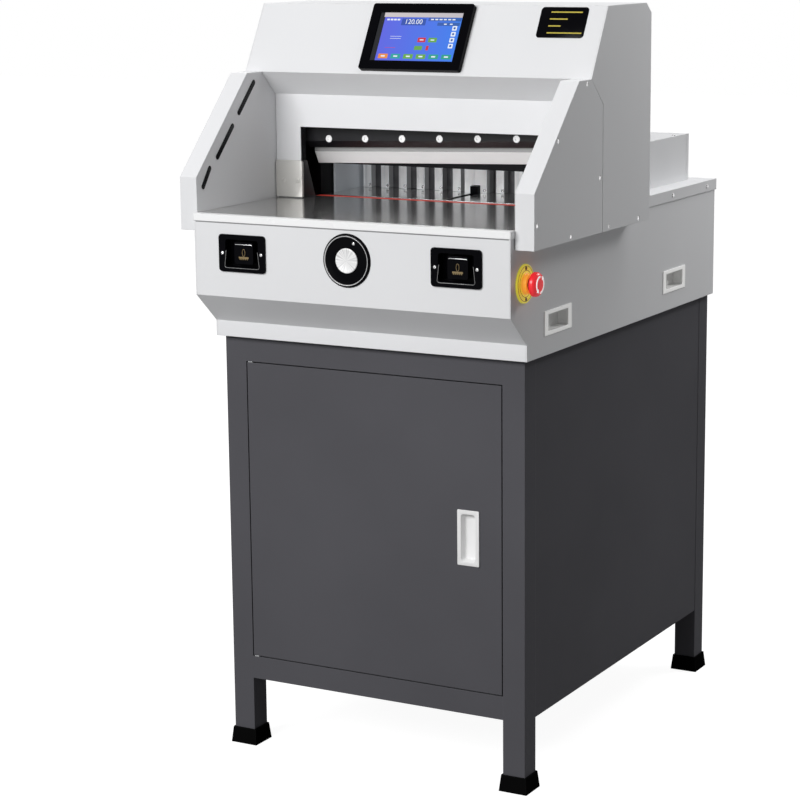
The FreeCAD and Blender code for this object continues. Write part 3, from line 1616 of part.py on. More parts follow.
def write():
    os.makedirs("parts", exist_ok=True)
    for obj in NODES:
        obj.Shape.exportStep("parts/%s.step" % obj.Label)
        box = obj.Shape.BoundBox
        print("%-20s %2d solid(s) %7.0f cm3  x %6.1f %6.1f  y %6.1f %6.1f  z %6.1f %6.1f" % (
            obj.Label, len(obj.Shape.Solids), obj.Shape.Volume / 1000,
            box.XMin, box.XMax, box.YMin, box.YMax, box.ZMin, box.ZMax))
    print("%d nodes" % len(NODES))


build()
doc.recompute()
check()
write()
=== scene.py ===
# %% [markdown]
# # An electric paper cutter on its cabinet
#
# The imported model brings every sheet, shaft and lever as a named node. This lesson gives each of
# them its finish, adds the small things that are put on last (screws, a lit screen page, marks on
# the buttons), and sets up a studio like the one of a catalogue picture.

# %% Load the model
from math import atan2, cos, pi, radians, sin
import bpy
from mathutils import Matrix, Vector


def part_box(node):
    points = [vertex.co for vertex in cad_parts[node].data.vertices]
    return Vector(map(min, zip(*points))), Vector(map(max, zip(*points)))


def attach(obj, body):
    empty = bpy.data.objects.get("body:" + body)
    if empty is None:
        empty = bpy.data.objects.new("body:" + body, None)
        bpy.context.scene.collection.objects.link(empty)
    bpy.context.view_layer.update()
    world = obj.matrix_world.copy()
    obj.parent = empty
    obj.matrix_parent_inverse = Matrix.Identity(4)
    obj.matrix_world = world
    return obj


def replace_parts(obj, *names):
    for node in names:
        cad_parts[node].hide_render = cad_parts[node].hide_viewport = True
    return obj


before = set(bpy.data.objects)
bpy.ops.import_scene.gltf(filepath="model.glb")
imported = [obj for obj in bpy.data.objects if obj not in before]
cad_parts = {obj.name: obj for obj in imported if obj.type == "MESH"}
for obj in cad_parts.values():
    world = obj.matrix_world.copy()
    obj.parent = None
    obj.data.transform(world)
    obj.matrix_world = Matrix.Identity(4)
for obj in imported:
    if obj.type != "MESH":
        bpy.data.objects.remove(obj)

scene = bpy.context.scene
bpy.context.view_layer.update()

# %% [markdown]
# ## Camera
#
# The picture was taken from the machine's front right, a little above its table. A camera could be
# placed by eye, but here its place, turn and lens come from lining up about fifty corners, so the
# model falls on the picture's outline. The turn is built from three directions that stand square to
# each other.

# %% Place the camera
TURN, TIP, LEAN = radians(29.18), radians(11.375), radians(-0.6)
FOCAL_PIXELS, PICTURE = 2341.6, 800

forward = Vector((-sin(TURN) * cos(TIP), cos(TURN) * cos(TIP), -sin(TIP)))
right = Vector((cos(TURN), sin(TURN), 0))
up = right.cross(forward)
right, up = right * cos(LEAN) + up * sin(LEAN), up * cos(LEAN) - right * sin(LEAN)
camera = bpy.data.objects.new("camera", bpy.data.cameras.new("camera"))
camera.matrix_world = Matrix.Translation((1.8914, -3.6385, 1.4006)) @ Matrix(
    (right, up, -forward)).transposed().to_4x4()
camera.data.sensor_width = 36
camera.data.lens = FOCAL_PIXELS / PICTURE * camera.data.sensor_width
scene.collection.objects.link(camera)
scene.camera = camera
print("lens %.1f mm" % camera.data.lens)

# %% [markdown]
# ## Floor, backdrop and light
#
# A catalogue picture has a white sweep. The floor is a white plane that still takes a soft shadow.
# It glows only towards the camera and in mirrors, so it looks white without lighting the machine
# from below. One large lamp stands high in front, a little to the left, as the picture's bright
# fronts and grey right side ask; the others are faint.

# %% Helpers: shader nodes
def feed(tree, node, inputs):
    """Links a socket to each named input, or writes a value into it."""
    for key, value in inputs.items():
        if isinstance(value, bpy.types.NodeSocket):
            tree.links.new(value, node.inputs[key])
        else:
            node.inputs[key].default_value = value


def add(tree, kind, inputs=None, **settings):
    """A new shader node with its inputs and settings."""
    made = tree.nodes.new("ShaderNode" + kind)
    for key, value in settings.items():
        setattr(made, key, value)
    feed(tree, made, inputs or {})
    return made


def rgba(value):
    """A colour from its three numbers, or a grey from one."""
    return (*(value if isinstance(value, tuple) else (value,) * 3), 1)


def maths(tree, operation, *values):
    return add(tree, "Math", dict(enumerate(values)), operation=operation).outputs[0]


def vectors(tree, operation, *values):
    return add(tree, "VectorMath", dict(enumerate(values)), operation=operation).outputs


def noise(tree, scale, detail, **along):
    """Noise over a Vector, or along one number W."""
    settings = {"noise_dimensions": "1D"} if "W" in along else {}
    return add(tree, "TexNoise", {**along, "Scale": scale, "Detail": detail}, **settings).outputs[0]


def ranged(tree, value, start, end, low=0.0, high=1.0):
    """Carries the range from start to end over to the range from low to high."""
    limits = {"Value": value, "From Min": start, "From Max": end, "To Min": low, "To Max": high}
    return add(tree, "MapRange", limits).outputs[0]


def mixed(tree, share, first, second):
    return add(tree, "Mix", {0: share, 6: first, 7: second}, data_type="RGBA").outputs[2]


def object_place(tree):
    return add(tree, "TexCoord").outputs["Object"]


def surface_normal(tree):
    return add(tree, "NewGeometry").outputs["Normal"]


def axes(tree, vector):
    return add(tree, "SeparateXYZ", {0: vector}).outputs


def seen_or_mirrored(tree, mirrored):
    """1 for the camera's rays, less for rays from a mirror or through glass, and 0 for the rest."""
    path = add(tree, "LightPath").outputs
    either = maths(tree, "MAXIMUM", path["Is Glossy Ray"], path["Is Transmission Ray"])
    return maths(tree, "MAXIMUM", maths(tree, "MULTIPLY", either, mirrored), path["Is Camera Ray"])


# %% White floor
bpy.ops.mesh.primitive_plane_add(size=30)
floor = bpy.context.object
floor.name = "floor"
floor_white = bpy.data.materials.new("floor white")
floor_white.use_nodes = True
tree = floor_white.node_tree
tree.nodes.clear()
matt = add(tree, "BsdfDiffuse", {"Color": rgba(0.27)})
away = vectors(tree, "LENGTH", object_place(tree))["Value"]
sweep = ranged(tree, away, 0.6, 3.5, 0.94, 1.0)
own = maths(tree, "MULTIPLY", seen_or_mirrored(tree, 0.4), sweep)
glow = add(tree, "Emission", {"Color": rgba(1), "Strength": own})
both = add(tree, "AddShader", {0: matt.outputs[0], 1: glow.outputs[0]})
add(tree, "OutputMaterial", {"Surface": both.outputs[0]})
floor.data.materials.append(floor_white)

# %% World: white behind the machine, dim light all round
world = bpy.data.worlds.new("studio")
world.use_nodes = True
scene.world = world
tree = world.node_tree
tree.nodes.clear()
strength = ranged(tree, seen_or_mirrored(tree, 0.35), 0.0, 1.0, 0.125, 1.0)
sky = add(tree, "Background", {"Color": rgba(1), "Strength": strength})
add(tree, "OutputWorld", {"Surface": sky.outputs[0]})

# %% Lamps
LAMPS = {  # place, aim, width, height, power
    "key_front": ((-1.1, -4.6, 3.1), (0, -0.2, 0.95), 3.0, 1.8, 208),
    "front_low": ((-0.3, -5.0, 0.9), (0, -0.2, 0.9), 2.4, 1.0, 9),
    "top_soft": ((0.3, 0.9, 3.6), (0, 0.2, 1.0), 2.0, 2.0, 46),
    "rear_right": ((1.2, 1.4, 1.9), (0.25, 0.1, 0.95), 0.6, 0.6, 15),
    "rear_left": ((-3.0, 2.6, 2.2), (-0.2, 0.3, 0.8), 1.6, 1.6, 22),
}
for name, (place, aim, width, height, power) in LAMPS.items():
    lamp = bpy.data.lights.new(name, "AREA")
    lamp.shape = "RECTANGLE"
    lamp.size, lamp.size_y, lamp.energy = width, height, power
    holder = bpy.data.objects.new(name, lamp)
    holder.location = place
    holder.rotation_euler = (Vector(aim) - Vector(place)).to_track_quat("-Z", "Y").to_euler()
    scene.collection.objects.link(holder)
scene.view_settings.view_transform = "Standard"
print("lamps", len(LAMPS))

# %% [markdown]
# ## Effects that the finishes share
#
# No real surface is one flat colour. Four effects do most of the work: a slow drift of tone, the
# grain of powder coat or moulded plastic, the drawn lines of ground and brushed metal, and the
# small radius that every folded or moulded edge has; its mask lets each finish paint its edges
# lighter, a painted highlight. Each could be built again in every material; as a node group it is
# built once and takes each material's own numbers.

# %% Helper: an empty node group
def effect(name, inputs, outputs):
    """A node group with inputs (label, kind, first value) and outputs (label, kind)."""
    tree = bpy.data.node_groups.new(name, "ShaderNodeTree")
    for label, kind, start in inputs:
        socket = tree.interface.new_socket(label, in_out="INPUT", socket_type="NodeSocket" + kind)
        socket.default_value = start
    for label, kind in outputs:
        tree.interface.new_socket(label, in_out="OUTPUT", socket_type="NodeSocket" + kind)
    return tree, tree.nodes.new("NodeGroupInput").outputs, tree.nodes.new("NodeGroupOutput").inputs


# %% Tone drift: two tones that pass slowly into each other
drift, given, result = effect(
    "tone drift",
    [("Tone", "Color", rgba(0.8)), ("Shade", "Color", rgba(0.7)), ("Scale", "Float", 3)],
    [("Color", "Color")])
cloud = noise(drift, given["Scale"], 3, Vector=object_place(drift))
share = ranged(drift, cloud, 0.35, 0.65)
drift.links.new(mixed(drift, share, given["Tone"], given["Shade"]), result["Color"])

# %% Grain: the fine bumps of powder coat and moulded plastic
SURFACE = [("Height", "Float"), ("Roughness", "Float")]
grain, given, result = effect(
    "grain", [("Scale", "Float", 900), ("Roughness", "Float", 0.4), ("Spread", "Float", 0.08)], SURFACE)
place = object_place(grain)
grain.links.new(noise(grain, given["Scale"], 2, Vector=place), result["Height"])
offset = maths(grain, "SUBTRACT", noise(grain, 9, 4, Vector=place), 0.5)
rough = maths(grain, "MULTIPLY_ADD", offset, given["Spread"], given["Roughness"])
grain.links.new(rough, result["Roughness"])

# %% Drawn lines: noise squeezed across the lines and stretched along them
lines, given, result = effect(
    "drawn lines",
    [("Stretch", "Vector", (1, 1, 1)), ("Roughness", "Float", 0.3), ("Spread", "Float", 0.15)], SURFACE)
squeezed = vectors(lines, "MULTIPLY", object_place(lines), given["Stretch"])[0]
line = noise(lines, 1, 3, Vector=squeezed)
lines.links.new(line, result["Height"])
offset = maths(lines, "SUBTRACT", line, 0.5)
rough = maths(lines, "MULTIPLY_ADD", offset, given["Spread"], given["Roughness"])
lines.links.new(rough, result["Roughness"])

# %% Soft edges: a shaded radius, and a mask of where it is
edges, given, result = effect(
    "soft edges", [("Radius", "Float", 0.001)], [("Normal", "Vector"), ("Edge", "Float")])
bevel = add(edges, "Bevel", {"Radius": given["Radius"]}, samples=4).outputs[0]
bent = vectors(edges, "DOT_PRODUCT", bevel, surface_normal(edges))["Value"]
edges.links.new(bevel, result["Normal"])
edges.links.new(ranged(edges, bent, 0.999, 0.85), result["Edge"])
print("effects", [tree.name for tree in bpy.data.node_groups])

# %% [markdown]
# ## Finishes
#
# Powder coat, polished and brushed steel, moulded plastic, rubber and glass cover the machine. One
# recipe makes them all: it starts from the Principled shader and takes its colour from the tone
# drift with a painted highlight along the edges, and its shine from the grain or the drawn lines.
# What is the same all over a surface is set on the shader's own sockets.

# %% Recipe shared by all solid finishes
def finish(name, tone, shade, roughness, scale=900, depth=0.08, spread=0.08, radius=0.0008, edge=None,
           stretch=None, drift_scale=3, metal=0, shine=0.5, glow=(1, 0)):
    """A material. A stretch asks for drawn lines in place of grain; glow is a colour and its strength."""
    made = bpy.data.materials.new(name)
    made.use_nodes = True
    tree = made.node_tree
    colour = add(tree, "Group", {"Tone": rgba(tone), "Shade": rgba(shade), "Scale": drift_scale},
                 node_tree=drift).outputs["Color"]
    rounding = add(tree, "Group", {"Radius": radius}, node_tree=edges).outputs
    pattern = {"Stretch": stretch} if stretch else {"Scale": scale}
    surface = add(tree, "Group", {**pattern, "Roughness": roughness, "Spread": spread},
                  node_tree=lines if stretch else grain).outputs
    # Edges take the lighter colour edge, given or made from the tone: a painted highlight.
    edge_highlight = rgba(edge or tuple(min(1, part * 1.15) for part in rgba(tone)[:3]))
    bump = add(tree, "Bump", {"Height": surface["Height"], "Strength": depth,
                              "Normal": rounding["Normal"], "Distance": 0.0004})
    feed(tree, tree.nodes["Principled BSDF"], {
        "Base Color": mixed(tree, rounding["Edge"], colour, edge_highlight), "Roughness": surface["Roughness"],
        "Normal": bump.outputs[0], "Metallic": metal, "Specular IOR Level": shine,
        "Emission Color": rgba(glow[0]), "Emission Strength": glow[1]})
    return made


# %% Paints
body_paint = finish("body paint", (0.8, 0.805, 0.82), (0.78, 0.785, 0.8), 0.42, scale=1200, depth=0.12,
                    radius=0.0012, edge=(0.84, 0.845, 0.855))
stand_paint = finish("stand paint", (0.098, 0.097, 0.108), (0.089, 0.088, 0.098), 0.62, depth=0.35,
                     radius=0.0015, edge=(0.12, 0.12, 0.13), shine=0.06)
frame_paint = finish("frame paint", (0.3, 0.31, 0.32), (0.24, 0.25, 0.26), 0.55, scale=400, depth=0.5,
                     radius=0.002)
motor_paint = finish("motor paint", (0.2, 0.22, 0.24), (0.16, 0.18, 0.2), 0.45, scale=700, depth=0.3,
                     radius=0.002)
black_paint = finish("black enamel", (0.004, 0.004, 0.005), (0.003, 0.003, 0.004), 0.36, scale=800, depth=0.2,
                     radius=0.001, edge=(0.02, 0.02, 0.022), shine=0.1)
carrier_paint = finish("carrier enamel", (0.012, 0.012, 0.014), (0.008, 0.008, 0.01), 0.3, scale=800,
                       depth=0.2, radius=0.001, edge=(0.05, 0.05, 0.055), shine=0.4)

# %% Steels, aluminium and bronze
table_steel = finish("polished table", (0.72, 0.715, 0.71), (0.64, 0.635, 0.63), 0.15, stretch=(30, 900, 30),
                     depth=0.03, spread=0.1, metal=0.9)
ground_steel = finish("ground knife", 0.36, 0.31, 0.34, stretch=(1500, 1500, 20), depth=0.1, spread=0.15,
                      radius=0.0006, edge=0.95, metal=0.35)
brushed_steel = finish("brushed plate", (0.74, 0.73, 0.7), (0.68, 0.67, 0.64), 0.38, stretch=(20, 20, 1800),
                       depth=0.12, spread=0.2, edge=(0.85, 0.84, 0.81), metal=0.35)
DRAWN = dict(stretch=(1600, 1600, 12), depth=0.15, spread=0.2, radius=0.0012, metal=0.3, drift_scale=25)
gauge_alloy = finish("drawn gauge alloy", (0.92, 0.93, 0.94), (0.76, 0.77, 0.78), 0.34, edge=0.98, **DRAWN)
# The fingers' dark tone is painted shade and their glow is painted light; both are set below.
finger_painted_light = finish("gauge fingers, painted light and shade", (0.16, 0.16, 0.17), (0.1, 0.1, 0.11), 0.34, glow=(1, 0.15), **DRAWN)
# The guide plate's faint blue glow is painted light.
guide_steel = finish("cool guide plate", (0.72, 0.76, 0.8), (0.62, 0.66, 0.7), 0.36, stretch=(20, 20, 1500),
                     depth=0.1, spread=0.2, metal=0.3, glow=((0.85, 0.92, 1.0), 0.07))
gusset_steel = finish("bracket's gusset", (0.025, 0.025, 0.027), (0.018, 0.018, 0.02), 0.4,
                      stretch=(20, 1200, 20), depth=0.1, spread=0.15, radius=0.0005, metal=0.2)
# The hub's faint glow is painted light.
hub_steel = finish("spun hub", 0.98, 0.95, 0.32, stretch=(900, 60, 900), depth=0.06, spread=0.2,
                   radius=0.0006, metal=0.25, glow=(1, 0.03))
# The cups' glow is painted light.
cup_plastic = finish("white cups", (0.93, 0.93, 0.92), (0.88, 0.88, 0.87), 0.34, radius=0.0012,
                     glow=(1, 0.22))
# The trim has the body's paint; its lighter tone is a painted highlight, its gloss is its own.
trim_painted_highlight = finish("gloss trim, painted highlight", (0.96, 0.965, 0.97), (0.94, 0.945, 0.95), 0.26, scale=1200, depth=0.06,
                    radius=0.0015, edge=0.98)
# A grey wire along a cup's lip: a painted highlight.
lip_painted_highlight = finish("lip, painted highlight", 0.3, 0.18, 0.3, scale=800, depth=0.03, spread=0.1, radius=0.0003, metal=0.3,
                  drift_scale=30)
# Silver for wires and lips that stand for light on an edge: a painted highlight.
silver_painted_highlight = finish("silver, painted highlight", (0.8, 0.8, 0.81), (0.66, 0.66, 0.67), 0.25, scale=800, depth=0.03,
                    spread=0.1, radius=0.0003, metal=0.5)
PLATED = dict(scale=300, depth=0.05, spread=0.2, drift_scale=60)
screw_zinc = finish("zinc screws", 0.9, (0.74, 0.74, 0.75), 0.2, radius=0.0003, metal=0.9, **PLATED)
# Its glow is a painted glint; below, its rim is painted dark, a painted shade.
zinc_painted_glint = finish("screws, painted glint and rim shade", 0.9, (0.74, 0.74, 0.75), 0.2, radius=0.0001, metal=0.6, glow=(1, 0.4),
                      **PLATED)
shaft_steel = finish("turned shaft", (0.7, 0.7, 0.71), (0.62, 0.62, 0.63), 0.18, stretch=(60, 2200, 60),
                     depth=0.05, spread=0.1, radius=0.0005, metal=1)
zinc = finish("zinc plate", (0.6, 0.61, 0.62), (0.48, 0.49, 0.5), 0.34, scale=160, spread=0.25, radius=0.0005,
              metal=1, drift_scale=40)
bronze = finish("bronze", (0.55, 0.36, 0.16), (0.45, 0.28, 0.12), 0.33, stretch=(40, 40, 1200), radius=0.0005,
                metal=1)

# %% Plastics and rubber
JET = dict(tone=(0.002, 0.002, 0.003), shade=(0.001, 0.001, 0.002), edge=(0.01, 0.01, 0.012))
black_plastic = finish("black moulding", roughness=0.2, scale=700, depth=0.06, shine=0.05, **JET)
button_black = finish("button black", roughness=0.22, depth=0.05, radius=0.001, shine=0.06, **JET)
# A grey that stands in for the shadow line under the trim: painted shadow.
seal_painted_shadow = finish("grey seal, painted shadow", (0.3, 0.3, 0.31), (0.24, 0.24, 0.25), 0.6, scale=700, depth=0.06,
                   radius=0.0002)
pale_plastic = finish("pale moulding", 0.9, 0.86, 0.36, radius=0.001)
# The red and the orange mouldings glow a little: painted light, as they are no lamps.
red_plastic = finish("red moulding", (0.8, 0.022, 0.03), (0.72, 0.016, 0.024), 0.26, scale=600, depth=0.05,
                     edge=(0.85, 0.1, 0.1), glow=((0.85, 0.02, 0.03), 0.35))
orange_plastic = finish("orange sleeve", (0.95, 0.42, 0.05), (0.9, 0.37, 0.04), 0.35, scale=700, depth=0.06,
                        radius=0.0006, glow=((1.0, 0.42, 0.05), 0.35))
INK = dict(roughness=0.45, scale=1500, radius=0.0001)
# The white ink glows a little: painted light.
white_ink = finish("white ink", (0.9, 0.88, 0.88), (0.85, 0.83, 0.83), depth=0.05,
                   glow=((0.9, 0.85, 0.85), 0.45), **INK)
dark_ink = finish("dark ink", (0.03, 0.028, 0.02), (0.02, 0.018, 0.015), depth=0.05, **INK)
gold_ink = finish("gold ink", (0.26, 0.19, 0.08), (0.2, 0.14, 0.06), **INK)
amber_ink = finish("amber ink", (0.55, 0.45, 0.05), (0.45, 0.36, 0.04), **INK)
# The yellow moulding and the red stick glow a little: painted light.
yellow_plastic = finish("yellow moulding", (0.9, 0.78, 0.05), (0.84, 0.7, 0.04), 0.32, scale=700, depth=0.06,
                        glow=((0.9, 0.8, 0.08), 0.3))
stick_red = finish("cutting stick", (0.72, 0.05, 0.03), (0.66, 0.045, 0.028), 0.45, stretch=(15, 700, 700),
                   depth=0.1, radius=0.0004, glow=((0.72, 0.05, 0.03), 0.25))
rubber = finish("black rubber", 0.005, 0.003, 0.62, scale=500, depth=0.4, radius=0.0015, edge=0.015, shine=0)
lens_dark = finish("curtain lens", (0.004, 0.004, 0.005), (0.006, 0.005, 0.006), 0.35, scale=60, depth=0.01,
                   radius=0.0002, shine=0.15)
window_dark = finish("light curtain window", (0.008, 0.008, 0.01), (0.012, 0.01, 0.012), 0.08, scale=60,
                     depth=0.01, radius=0.0004)
screen_glass = finish("screen glass", (0.01, 0.011, 0.014), (0.014, 0.015, 0.019), 0.1, scale=40, depth=0.01,
                      radius=0.0004)

# %% Finishes that follow the shape, mostly with painted light and shade
def repaint(material, share, colour):
    """Passes a finish's colour to another one where share is 1."""
    tree = material.node_tree
    base = tree.nodes["Principled BSDF"].inputs["Base Color"]
    tree.links.new(mixed(tree, share, base.links[0].from_socket, rgba(colour)), base)


def glow_with(material, colour):
    tree = material.node_tree
    tree.links.new(colour, tree.nodes["Principled BSDF"].inputs["Emission Color"])


# The knife's bevel faces down and forward; faces that point down are painted brighter than the flat
# band, a painted highlight.
tree = ground_steel.node_tree
repaint(ground_steel, ranged(tree, axes(tree, surface_normal(tree))["Z"], -0.1, -0.25), 0.97)
# The hub's brushing runs outward from the wheel's middle.
tree = hub_steel.node_tree
hub_low, hub_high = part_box("hand_wheel_hub")
wheel_rise = (hub_low.z + hub_high.z) / 2
offset = axes(tree, vectors(tree, "SUBTRACT", object_place(tree), (0, 0, wheel_rise))[0])
rays = noise(tree, 5.0, 3.0, W=maths(tree, "ARCTAN2", offset["Z"], offset["X"]))
repaint(hub_steel, ranged(tree, rays, 0.42, 0.62, 0.0, 0.8), (0.62, 0.62, 0.63))
# The casing's screws and the knife's bolts get a painted glint: their crowns glow, and round the
# rim they are painted dark, a painted shade.
tree = zinc_painted_glint.node_tree
turn = axes(tree, vectors(tree, "ABSOLUTE", surface_normal(tree))[0])
crown = maths(tree, "MAXIMUM", maths(tree, "MAXIMUM", turn["X"], turn["Z"]), turn["Y"])
painted_rim_shade = ranged(tree, crown, 0.94, 0.75)
repaint(zinc_painted_glint, painted_rim_shade, 0.04)
glow_with(zinc_painted_glint, mixed(tree, painted_rim_shade, rgba(0.9), rgba(0.0)))
# The cup's flange glows white and its pocket only faintly: painted light for a flange that stands
# free of the casing's shade, and a pocket that lies in it.
tree = cup_plastic.node_tree
distance = maths(tree, "ABSOLUTE", axes(tree, object_place(tree))["X"])
flange_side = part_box("handle_cups")[1].x - 0.0008
on_flange = ranged(tree, distance, flange_side - 0.0002, flange_side)
glow_with(cup_plastic, mixed(tree, on_flange, rgba(0.05), rgba((1, 1, 0.98))))
# The fronts of the gauge's fingers look out into the light and their right sides catch some of it;
# there the dark alloy is painted bright and glows in streaks, painted light. Elsewhere it stays
# dark, a painted shade.
tree = finger_painted_light.node_tree
place = axes(tree, object_place(tree))
finger_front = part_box("back_gauge")[0].y + 0.0105
front = ranged(tree, place["Y"], finger_front + 0.0004, finger_front)
side = ranged(tree, axes(tree, surface_normal(tree))["X"], 0.5, 0.9, 0.0, 0.4)
painted_lit_share = maths(tree, "MAXIMUM", front, side)
repaint(finger_painted_light, painted_lit_share, (0.9, 0.91, 0.92))
painted_streaks = ranged(tree, noise(tree, 160.0, 2.0, W=place["X"]), 0.35, 0.65, 0.35, 1.35)
share = maths(tree, "MULTIPLY", painted_lit_share, painted_streaks)
glow_with(finger_painted_light, vectors(tree, "MULTIPLY", (0.9, 0.93, 0.96), share)[0])

# %% Put the finishes on the model's nodes
BY_SLOT = {
    "dark_paint": stand_paint, "light_paint": body_paint, "black_rubber": rubber, "zinc_steel": zinc,
    "bright_steel": shaft_steel, "black_steel": black_paint, "cast_frame": frame_paint,
    "motor_paint": motor_paint, "bronze": bronze, "aluminium": gauge_alloy, "black_plastic": black_plastic,
    "grey_plastic": pale_plastic, "red_plastic": red_plastic, "yellow_plastic": yellow_plastic,
    "button_plastic": button_black, "dark_window": window_dark, "screen_glass": screen_glass,
}
BY_NODE = {
    "work_table": table_steel, "knife_blade": ground_steel, "knife_bolts": zinc_painted_glint,
    "side_lays": brushed_steel, "rear_side_guides": guide_steel, "cutting_stick": stick_red,
    "handle_cups": cup_plastic, "table_trim": trim_painted_highlight, "back_gauge": finger_painted_light,
    "base_tray": body_paint, "side_cheeks": black_paint, "knife_carrier": carrier_paint,
}
for name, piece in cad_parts.items():
    for holder in piece.material_slots:
        holder.material = BY_NODE.get(name, BY_SLOT[holder.material.name.split(".")[0]])
print("finishes", len(bpy.data.materials))

# %% [markdown]
# ## Tools for the added pieces
#
# Each piece is modelled with Blender's own tools and then finished the same way: its place is
# written into its mesh, doubled points are merged, faces turn outward, and it is hung on the body
# that carries it. Round pieces are turned as on a lathe: half a section is drawn and the screw
# modifier carries it round.

# %% Helpers: choose, change, join and complete
def only(*chosen):
    bpy.ops.object.select_all(action="DESELECT")
    for piece in chosen:
        piece.select_set(True)
    bpy.context.view_layer.objects.active = chosen[0]


def set_mode(mode):
    bpy.ops.object.mode_set(mode=mode)


def change(piece, kind, **settings):
    """Puts a modifier on a piece and applies it."""
    only(piece)
    step = piece.modifiers.new(kind, kind)
    for key, value in settings.items():
        setattr(step, key, value)
    bpy.ops.object.modifier_apply(modifier=step.name)
    return piece


def fresh(operator, **settings):
    """The piece that one of Blender's add operators makes."""
    operator(**settings)
    return bpy.context.object


def all_of_it(operator, **settings):
    """Runs one of Blender's mesh operators on the whole piece that is being edited."""
    bpy.ops.mesh.select_all(action="SELECT")
    operator(**settings)


def combine(piece, tool, operation):
    """Adds a tool's solid to a piece or cuts it away, and removes the tool."""
    bpy.context.view_layer.update()
    change(piece, "BOOLEAN", operation=operation, object=tool, solver="EXACT")
    bpy.data.objects.remove(tool)


def joined(parts):
    only(*parts)
    bpy.ops.object.join()
    return bpy.context.object


def complete(piece, name, material, body="machine"):
    """Writes the place of a piece, or of joined parts, into the mesh, cleans it, and hangs it on a body."""
    if isinstance(piece, list):
        piece = joined(piece)
    only(piece)
    bpy.ops.object.transform_apply()
    set_mode("EDIT")
    all_of_it(bpy.ops.mesh.remove_doubles, threshold=0.00001)
    all_of_it(bpy.ops.mesh.normals_make_consistent)
    set_mode("OBJECT")
    bpy.ops.object.shade_smooth_by_angle(angle=radians(35))
    piece.name = piece.data.name = name
    piece.data.materials.clear()
    piece.data.materials.append(material)
    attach(piece, body)
    size = [round(n * 1000, 1) for n in piece.dimensions]
    print(name, len(piece.data.polygons), "faces", size, "mm")
    return piece


# %% Helpers: places and basic solids
shift = Matrix.Translation


def facing(place, normal, spin=0.0):
    """A matrix that stands a piece modelled along +Z on a place, facing along a normal."""
    turn = Vector((0, 0, 1)).rotation_difference(Vector(normal)).to_matrix().to_4x4()
    return shift(place) @ turn @ Matrix.Rotation(spin, 4, "Z")


def put(model, place, normal, spin=0.0):
    """A copy of a screw on a place, facing along a normal."""
    made = model.copy()
    made.data = model.data.copy()
    scene.collection.objects.link(made)
    made.matrix_world = facing(place, normal, spin) @ model.matrix_world
    return made


def panel_frame(place):
    """A matrix for a face that looks at the operator: +X stays, +Y goes up and +Z comes forward."""
    return shift(place) @ Matrix.Rotation(pi / 2, 4, "X")


ahead, outward = (0, -1, 0), (1, 0, 0)


def slab(width, height, thick, corner=0.0, steps=4):
    """A flat plate with rounded corners, its foot at z 0, modelled from a plane."""
    made = fresh(bpy.ops.mesh.primitive_plane_add, size=1)
    made.scale = (width, height, 1)
    bpy.ops.object.transform_apply()
    set_mode("EDIT")
    if corner:
        all_of_it(bpy.ops.mesh.bevel, offset=corner, segments=steps, affect="VERTICES")
    all_of_it(bpy.ops.mesh.extrude_region_move, TRANSFORM_OT_translate={"value": (0, 0, thick)})
    all_of_it(bpy.ops.mesh.normals_make_consistent)
    set_mode("OBJECT")
    return made


def round_edges(piece, test, offset, segments):
    """Bevels the edges whose two ends pass the test."""
    only(piece)
    set_mode("EDIT")
    bpy.ops.mesh.select_mode(type="EDGE")
    bpy.ops.mesh.select_all(action="DESELECT")
    set_mode("OBJECT")
    for edge in piece.data.edges:
        edge.select = all(test(piece.data.vertices[i].co) for i in edge.vertices)
    set_mode("EDIT")
    bpy.ops.mesh.bevel(offset=offset, segments=segments)
    set_mode("OBJECT")


def soften(piece, width):
    return change(piece, "BEVEL", width=width, segments=2, limit_method="ANGLE", angle_limit=radians(40))


def turned(section, steps=64, sweep=2 * pi):
    """A turned piece from points (radius, height) of its section."""
    mesh = bpy.data.meshes.new("section")
    points = [(radius, 0, height) for radius, height in section]
    mesh.from_pydata(points, [(i, i + 1) for i in range(len(points) - 1)], [])
    made = bpy.data.objects.new("turned", mesh)
    scene.collection.objects.link(made)
    return change(made, "SCREW", angle=sweep, steps=steps, axis="Z", use_merge_vertices=True,
                  merge_threshold=0.00001)


def flat_ring(inner, outer, thick, steps, sweep=2 * pi):
    return turned([(inner, 0), (outer, 0), (outer, thick), (inner, thick), (inner, 0)], steps, sweep)


def wire(points, radius, rise=0.0):
    """A round wire along points (x, y) at one height, made mesh."""
    line = bpy.data.curves.new("wire", "CURVE")
    line.dimensions = "3D"
    line.bevel_depth = radius
    line.bevel_resolution = 2
    line.use_fill_caps = True
    run = line.splines.new("POLY")
    run.points.add(len(points) - 1)
    for knot, point in zip(run.points, points):
        knot.co = (*point, rise, 1)
    made = bpy.data.objects.new("wire", line)
    scene.collection.objects.link(made)
    only(made)
    bpy.ops.object.convert(target="MESH")
    return bpy.context.object


# %% [markdown]
# ## Casing screws
#
# Cross recessed screws hold the guards, the head and the rear cover. On the guards and the head
# they sit in shallow round seats, so that nothing catches a sleeve; elsewhere they are pan heads. A
# head could be a disc with a picture of a cross, but here one is modelled, with a rounded rim and
# two crossed bars cut out, and then copied.

